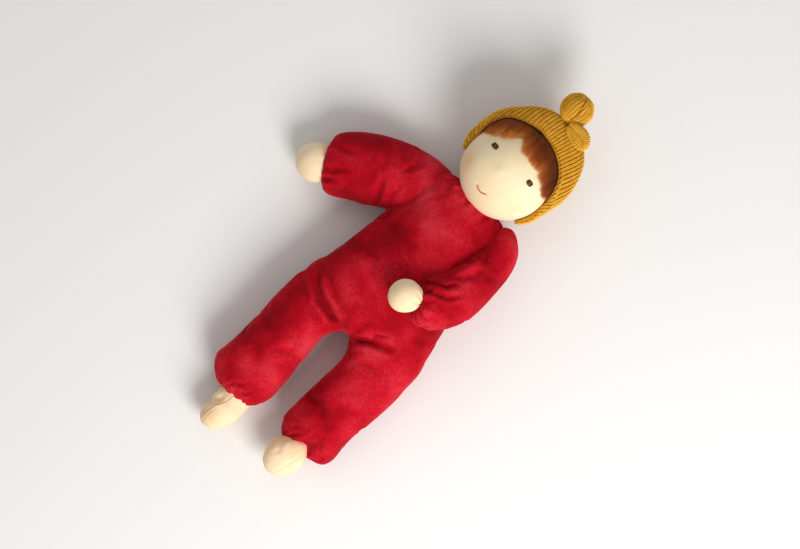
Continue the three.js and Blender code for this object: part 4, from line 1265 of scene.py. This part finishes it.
# %% Fillings
def wool_tube(name, line, sizes, draw_in, seed):
    """A stuffed tube with its half widths drawn in, and soft lumps."""
    smaller = [(row[0], max(row[1] - draw_in, 1.0), max(row[2] - draw_in, 1.0)) for row in sizes]
    points, _, _ = stuffed_tube(line, smaller, 30, 32, 2.2, rest=draw_in)
    return make_piece(name, points + outward(points) * (0.5 * lumps(points, 9.0, seed))[..., None])


def wool_ball(name, middle, radii, seed):
    """A ball of wool with soft lumps."""
    ways = ball_ways(24, 30, (0, 0, 1))
    soft = 0.4 * lumps(ways * 12, 6.0, seed)[..., None]
    return make_piece(name, middle + ways * (np.asarray(radii) + soft))


def shorter(line, start, end):
    """The stretch of a line between two shares of it."""
    return np.column_stack([np.linspace(0, 1, 12), through(line, np.linspace(start, end, 12))])


def leg_wool(name, table):
    """The wool of a leg: its ovals without the ends, drawn in by 7 mm."""
    return make_piece(name, upright_ovals(table[10:-5], 30, 32, 2.2, 7.0)[0])


wool_inset, wool_long, wool_middle_y = 4.5, 0.94, -6
wool_grid, _ = body_grid(40, 48, wool_inset)
wool_grid[..., 1] = wool_long * (wool_grid[..., 1] - wool_middle_y) + wool_middle_y
body_wool = make_piece("body_wool", wool_grid)
wool_tubes = [
    ("right_arm", shorter(right_sleeve_line, 0.35, 0.85),
     [(0, 20, 15), (0.5, 26, 18), (1, 20, 14)], 4.5, 103),
    ("left_arm", shorter(left_sleeve_line, 0.3, 0.8),
     [(0, 12, 14), (0.5, 18, 15.5), (1, 15, 13)], 4.0, 104),
    ("right_foot", [(0, -15.6, -177, 15), (0.5, -14.6, -193, 15.4), (1, -16.6, -209, 15.8)],
     [(0, 8, 7.6), (0.4, 12.4, 11.8), (0.8, 10.4, 9.6), (1, 5, 5)], 3.6, 109),
    ("left_foot", [(0, 47.6, -171, 18), (0.5, 46, -184, 20.4), (1, 44.8, -195, 23)],
     [(0, 6, 7.6), (0.4, 12.4, 12), (0.8, 11.4, 10.4), (1, 5, 5)], 3.4, 110),
]
wools = {limb: wool_tube(f"{limb}_wool", *sizes) for limb, *sizes in wool_tubes}
fillings = {
    "torso": (body_wool, "torso_filling"),
    "head": (wool_ball("head_wool", head_middle, (36.2, 36.2, 36.2), 101), "head_core"),
    "hat": (wool_ball("hat_ball_wool", ball_middle, (10, 10, 10), 102), "hat_ball_filling"),
    "right_arm": (wools["right_arm"], "right_arm_filling"),
    "left_arm": (wools["left_arm"], "left_arm_filling"),
    "right_leg": (leg_wool("right_leg_wool", right_leg_table), "right_leg_filling"),
    "left_leg": (leg_wool("left_leg_wool", left_leg_table), "left_leg_filling"),
    "right_hand": (
        wool_ball("right_hand_wool", right_hand_middle, (13.4, 13.4, 11.4), 107), "right_hand_filling"
    ),
    "left_hand": (wool_ball("left_hand_wool", left_hand_middle, (11, 11, 10.2), 108), "left_hand_filling"),
    "right_foot": (wools["right_foot"], "right_foot_filling"),
    "left_foot": (wools["left_foot"], "left_foot_filling"),
}
print("fillings", len(fillings))

# %% [markdown]
# Cloths and yarns
#
# Every finish here is cloth, so each material starts from the same few nodes: a colour that two noises
# vary, a roughness, a sheen for the fuzz, and a bump for the fibres. They read Object coordinates,
# which are metres, or a value laid on the mesh, so the pattern stays on the piece when it moves.

# %% Material helpers
class Finish:
    """A cloth material, with short ways to add nodes to it. A value is an output, a number or a colour."""

    def __init__(self, name):
        self.material = bpy.data.materials.new(name)
        self.material.use_nodes = True
        self.tree = self.material.node_tree
        self.surface = self.tree.nodes["Principled BSDF"].inputs
        self.where = self.node("TexCoord", {}).outputs["Object"]

    def put(self, value, socket):
        """Joins an output to a socket, or sets the socket to a number or a colour."""
        if hasattr(value, "is_output"):
            self.tree.links.new(value, socket)
        else:
            socket.default_value = (*value, 1.0) if socket.type == "RGBA" else value

    def node(self, kind, values, **settings):
        """A node of that kind, with its settings and the values of its sockets."""
        node = self.tree.nodes.new("ShaderNode" + kind)
        for name, setting in settings.items():
            setattr(node, name, setting)
        for name, value in values.items():
            self.put(value, node.inputs[name])
        return node

    def noise(self, scale, detail=3.0, rough=0.55, distortion=0.0):
        values = {"Vector": self.where, "Scale": scale, "Detail": detail, "Roughness": rough}
        return self.node("TexNoise", {**values, "Distortion": distortion}).outputs["Fac"]

    def steps(self, value, *steps):
        """A colour ramp from (position, colour) pairs."""
        ramp = self.node("ValToRGB", {"Fac": value})
        elements = ramp.color_ramp.elements
        while len(elements) < len(steps):
            elements.new(0.5)
        for element, (position, colour) in zip(elements, steps):
            element.position = position
            element.color = (*colour, 1.0)
        return ramp.outputs["Color"]

    def mix(self, first, second, amount, way="MIX"):
        values = {6: first, 7: second, 0: amount}
        return self.node("Mix", values, data_type="RGBA", blend_type=way).outputs[2]

    def maths(self, way, first, second):
        return self.node("Math", {0: first, 1: second}, operation=way).outputs[0]

    def bump(self, height, strength, distance, before=None):
        values = {"Strength": strength, "Distance": distance, "Height": height}
        if before is not None:
            values["Normal"] = before
        rough = self.node("Bump", values).outputs["Normal"]
        self.put(rough, self.surface["Normal"])
        return rough

    def laid(self, name):
        """Reads a number that was laid on the mesh."""
        return self.node("Attribute", {}, attribute_name=name).outputs["Fac"]

    def matt(self, colour, roughness, sheen, sheen_colour, sheen_roughness=0.5, specular=0.2):
        """The surface's colour, its roughness, and a sheen for the fuzz."""
        values = {"Base Color": colour, "Roughness": roughness, "Specular IOR Level": specular}
        values |= {"Sheen Weight": sheen, "Sheen Roughness": sheen_roughness, "Sheen Tint": sheen_colour}
        for name, value in values.items():
            self.put(value, self.surface[name])


print("finish helpers ready")

# %% [markdown]
# Velour
#
# Velour is a knit with a short cut pile. Its colour has painted shade in the folds and painted highlight
# on their ridges, over a large soft noise in the pile's own tone. Fine flecks, thicker on the lighter
# parts, and a sheen stand for the pile itself.

# %% Velour
velour = Finish("crimson_velour")
brushed = velour.noise(28.0, 3.0, 0.5, 0.3)
# painted shade in the folds and painted highlight on their ridges, laid on the mesh, over soft noise in the
# pile's tone
pile_patches_and_fold_shade = velour.maths("ADD", velour.maths("MULTIPLY", velour.laid("nap_and_fold_shade"), 0.16), brushed)
colour = velour.steps(
    pile_patches_and_fold_shade, (0.28, (0.29, 0.0002, 0.005)), (0.46, (0.42, 0.0005, 0.009)), (0.6, (0.49, 0.002, 0.013)),
    (0.8, (0.58, 0.018, 0.03)),
)
# pinkish flecks of the pile, thicker where the painted highlight and the lighter tone lie
flecks = velour.maths("MULTIPLY", velour.noise(520.0, 3.0, 0.75, 0.2), pile_patches_and_fold_shade)
flecks = velour.steps(flecks, (0.24, (0.0, 0.0, 0.0)), (0.46, (0.45, 0.45, 0.45)))
colour = velour.mix(colour, (0.66, 0.05, 0.065), flecks)
fibre = velour.noise(2600.0, 2.0, 0.7)
fibre_shade = velour.steps(fibre, (0.3, (0.7, 0.66, 0.66)), (0.65, (1.0, 1.0, 1.0)))
colour = velour.mix(colour, fibre_shade, 0.5, "MULTIPLY")
velour.matt(colour, 0.9, 0.5, (1.0, 0.14, 0.17), 0.38, 0.1)
soft = velour.bump(velour.noise(330.0, 4.0, 0.65, 0.4), 0.25, 0.0009)
velour.bump(fibre, 0.3, 0.0004, soft)
print("velour", len(velour.tree.nodes), "nodes")

# %% [markdown]
# Tricot skins
#
# The doll's skin is fine cotton tricot in three tones. The loops are too small to model, so they are
# a grain in the colour and in the bump. The blush is wax crayon rubbed on the cheeks.

# %% Tricot skins
def tricot(name, base, shade, warm, tint=lambda cloth, colour: colour):
    """Fine cotton tricot: a pale colour, slightly warmer in places, with a fine grain in the colour and
    as a bump. The tint may change the colour further."""
    cloth = Finish(name)
    colour = cloth.steps(cloth.noise(38.0, 3.0), (0.3, shade), (0.55, base), (0.8, warm))
    grain = cloth.noise(1500.0, 2.0, 0.6)
    speckle = cloth.steps(grain, (0.3, (0.9, 0.88, 0.86)), (0.65, (1, 1, 1)))
    colour = tint(cloth, cloth.mix(colour, speckle, 0.6, "MULTIPLY"))
    cloth.matt(colour, 0.85, 0.12, (1.0, 0.92, 0.8))
    cloth.bump(grain, 0.25, 0.00035)
    return cloth


def blush(cloth, colour):
    """Two soft round tints: the distance from a place on the cheek, turned into a fading share."""
    cheeks = [((-27, -18.6), 14.0, (0.90, 0.42, 0.24), 0.5), ((25, -15), 12.0, (0.90, 0.46, 0.28), 0.22)]
    for place, width, tint, strength in cheeks:
        middle = (face_point(*place) + chest_in_frame) * millimetre
        gap = cloth.node("VectorMath", {0: cloth.where, 1: middle}, operation="DISTANCE").outputs["Value"]
        values = {"Value": gap, "From Max": width * millimetre, "To Min": strength, "To Max": 0.0}
        share = cloth.node("MapRange", values, interpolation_type="SMOOTHERSTEP").outputs["Result"]
        colour = cloth.mix(colour, tint, share)
    return colour


def dark_seam(cloth, colour):
    """The foot's seam, drawn a little darker."""
    shade = cloth.steps(cloth.laid("seam"), (0.1, (1, 1, 1)), (0.95, (0.74, 0.58, 0.46)))
    return cloth.mix(colour, shade, 1.0, "MULTIPLY")


face_tricot = tricot("face_tricot", (0.90, 0.73, 0.46), (0.87, 0.68, 0.41), (0.92, 0.77, 0.51), blush)
hand_tricot = tricot("hand_tricot", (0.90, 0.71, 0.46), (0.86, 0.64, 0.38), (0.92, 0.76, 0.52))
foot_tricot = tricot("foot_tricot", (0.90, 0.66, 0.42), (0.85, 0.58, 0.34), (0.92, 0.72, 0.48), dark_seam)
print("skins", face_tricot.material.name, hand_tricot.material.name, foot_tricot.material.name)

# %% [markdown]
# Yarns, threads, mohair and wool
#
# All of these are spun or brushed fibre. One recipe with other colours serves them, apart from the
# shiny eye thread and the mohair, whose colour runs from a dark root to a light tip.

# %% Yarns, threads, mohair and wool
def yarn(name, dark, mid, light, fuzz, fibre_scale=900.0, sheen=0.35, knitted=False):
    """Spun yarn: a colour that wanders with noise, fine fibres as a bump, and a soft sheen. In knitting
    each stitch gets painted shade where it dives under the next."""
    cloth = Finish(name)
    colour = cloth.steps(cloth.noise(260.0, 4.0, 0.6), (0.28, dark), (0.5, mid), (0.75, light))
    if knitted:
        # painted shade where each stitch dives under the next
        dive_shade = cloth.steps(cloth.laid("stands"), (0.05, (0.56, 0.42, 0.28)), (0.8, (1, 1, 1)))
        colour = cloth.mix(colour, dive_shade, 1.0, "MULTIPLY")
    cloth.matt(colour, 0.85, sheen, fuzz)
    cloth.bump(cloth.noise(fibre_scale, 3.0, 0.7, 0.6), 0.5, 0.0004)
    return cloth


warm_fuzz, white = (1.0, 0.75, 0.3), (1, 1, 1)
hat_yarn = yarn(
    "mustard_yarn", (0.70, 0.32, 0.009), (0.90, 0.48, 0.028), (0.96, 0.60, 0.08), warm_fuzz, knitted=True
)
tie_yarn = yarn("mustard_tie_yarn", (0.58, 0.24, 0.006), (0.78, 0.38, 0.016), (0.88, 0.50, 0.05), warm_fuzz)
# a darker copy of the hat's yarn: painted shade for the rib valleys and the gaps between the stitches
valley_yarn_painted_shade = yarn(
    "mustard_yarn_painted_shade_in_the_valleys", (0.42, 0.15, 0.004), (0.56, 0.23, 0.007), (0.70, 0.33, 0.018),
    (1.0, 0.7, 0.3),
)
winding_thread = yarn("binding_thread", (0.7, 0.62, 0.48), (0.84, 0.77, 0.62), (0.9, 0.85, 0.72), white)
carded_wool = yarn("carded_wool", (0.68, 0.62, 0.5), (0.8, 0.75, 0.63), (0.88, 0.84, 0.74), white, 400.0)
coral_thread = yarn(
    "coral_thread", (0.52, 0.06, 0.04), (0.68, 0.12, 0.075), (0.8, 0.22, 0.15), (1.0, 0.7, 0.6), 1500.0,
    0.15,
)

eye_thread = Finish("brown_satin_thread")
colour = eye_thread.steps(
    eye_thread.laid("middle"), (0.0, (0.05, 0.020, 0.009)), (0.7, (0.12, 0.052, 0.022)),
    (1.0, (0.20, 0.10, 0.045)),
)
eye_thread.matt(colour, 0.6, 0.05, (1.0, 0.8, 0.6), 0.4)
eye_thread.bump(eye_thread.noise(3000.0, 2.0), 0.3, 0.0002)

mohair = Finish("auburn_mohair_strands")
towards_tip = mohair.maths("MULTIPLY", mohair.laid("tip"), 0.55)
shade = mohair.maths("ADD", towards_tip, mohair.maths("MULTIPLY", mohair.laid("own"), 0.5))
colour = mohair.steps(
    shade, (0.12, (0.06, 0.008, 0.001)), (0.44, (0.21, 0.034, 0.003)), (0.68, (0.56, 0.12, 0.010)),
    (0.95, (0.94, 0.42, 0.09)),
)
mohair.matt(colour, 0.55, 0.08, (1.0, 0.5, 0.2), 0.4, 0.25)

felted = Finish("auburn_mohair_base")
curls = felted.noise(420.0, 5.0, 0.7, 2.0)
colour = felted.steps(
    curls, (0.3, (0.06, 0.012, 0.003)), (0.55, (0.17, 0.038, 0.007)), (0.8, (0.32, 0.085, 0.015))
)
felted.matt(colour, 0.8, 0.25, (1.0, 0.6, 0.3))
felted.bump(curls, 0.8, 0.0012)
print("materials", len(bpy.data.materials))

# %% [markdown]
# Putting the pieces on their bodies
#
# Each piece hides the plain solid that it stands for, and most move with one body of the CAD model. The
# sleeves and legs cross a joint, where the real cloth simply bends, so they are given no body and stay
# where they were made.

# %% Bodies, finishes and hidden CAD parts
def dress(piece, body, finish, stands_for=()):
    """Gives a piece its finish and its body, and hides the CAD nodes that it stands for."""
    piece.data.materials.append(finish.material)
    if stands_for:
        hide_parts(*stands_for)
    if body is not None:
        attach(piece, body)


dress(velour_body, "torso", velour, ["torso_cover"])
dress(right_sleeve, None, velour, ["right_sleeve"])
dress(left_sleeve, None, velour, ["left_sleeve"])
dress(right_leg, None, velour, ["right_leg_cover"])
dress(left_leg, None, velour, ["left_leg_cover"])
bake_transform(right_sleeve)
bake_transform(left_sleeve)
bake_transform(right_leg)
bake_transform(left_leg)

dress(neck_stem, "neck", hand_tricot, ["neck_stem"])
dress(neck_winding, "neck", winding_thread, ["neck_tie"])
dress(head_ball, "head", face_tricot, ["head_skin"])
dress(left_eye, "head", eye_thread, ["left_eye"])
dress(right_eye, "head", eye_thread, ["right_eye"])
dress(mouth, "head", coral_thread, ["mouth"])
dress(wig_base, "head", felted, ["hair"])
dress(fringe, "head", mohair)
dress(cover, "head", mohair)
dress(hat_wall_piece, "hat", valley_yarn_painted_shade, ["hat_cap"])
dress(hat_stitches, "hat", hat_yarn)
dress(hat_ball, "hat", valley_yarn_painted_shade, ["hat_ball"])
dress(ball_stitches, "hat", hat_yarn)
dress(hat_tie, "hat", tie_yarn, ["hat_ball_tie"])
dress(hat_tail, "hat", valley_yarn_painted_shade, ["hat_tail_fold"])
dress(tail_stitches, "hat", hat_yarn)
dress(right_hand, "right_hand", hand_tricot, ["right_hand_skin"])
dress(left_hand, "left_hand", hand_tricot, ["left_hand_skin"])
dress(right_foot, "right_foot", foot_tricot, ["right_foot_skin"])
dress(left_foot, "left_foot", foot_tricot, ["left_foot_skin"])
for body, (piece, node) in fillings.items():
    dress(piece, body, carded_wool, [node])

# %% [markdown]
# Floor and light
#
# The doll lies on a plain pale floor. One large soft lamp stands low on the doll's left side, where
# the photograph's light comes from, and a weak lamp and the pale world fill the shadows.

# %% Floor, lamps and world
floor_mesh = bpy.data.meshes.new("floor")
floor_mesh.from_pydata([(-3, -3, 0), (3, -3, 0), (3, 3, 0), (-3, 3, 0)], [], [(0, 1, 2, 3)])
floor = bpy.data.objects.new("floor", floor_mesh)
bpy.context.scene.collection.objects.link(floor)
floor.location.z = -0.0002
floor_paint = bpy.data.materials.new("pale_floor")
floor_paint.use_nodes = True
floor_surface = floor_paint.node_tree.nodes["Principled BSDF"].inputs
floor_surface["Base Color"].default_value = (0.78, 0.76, 0.74, 1)
floor_surface["Roughness"].default_value = 0.9
floor_mesh.materials.append(floor_paint)


def soft_lamp(name, place, size, power):
    """A square lamp of that size in metres, turned towards the middle of the doll."""
    lamp_data = bpy.data.lights.new(name, "AREA")
    lamp_data.size = size
    lamp_data.energy = power
    lamp = bpy.data.objects.new(name, lamp_data)
    bpy.context.scene.collection.objects.link(lamp)
    lamp.location = place
    lamp.rotation_euler = (Vector((0.02, 0.0, 0.03)) - Vector(place)).to_track_quat("-Z", "Y").to_euler()
    return lamp


soft_lamp("window", (1.1, -0.35, 0.95), 0.8, 23.0)
soft_lamp("fill", (-0.8, 0.6, 1.4), 1.2, 3.0)
world = bpy.data.worlds.new("world") if bpy.context.scene.world is None else bpy.context.scene.world
bpy.context.scene.world = world
world.use_nodes = True
world.node_tree.nodes["Background"].inputs["Color"].default_value = (1, 1, 1, 1)
world.node_tree.nodes["Background"].inputs["Strength"].default_value = 0.45
bpy.context.scene.view_settings.view_transform = "Standard"
print("stage ready")
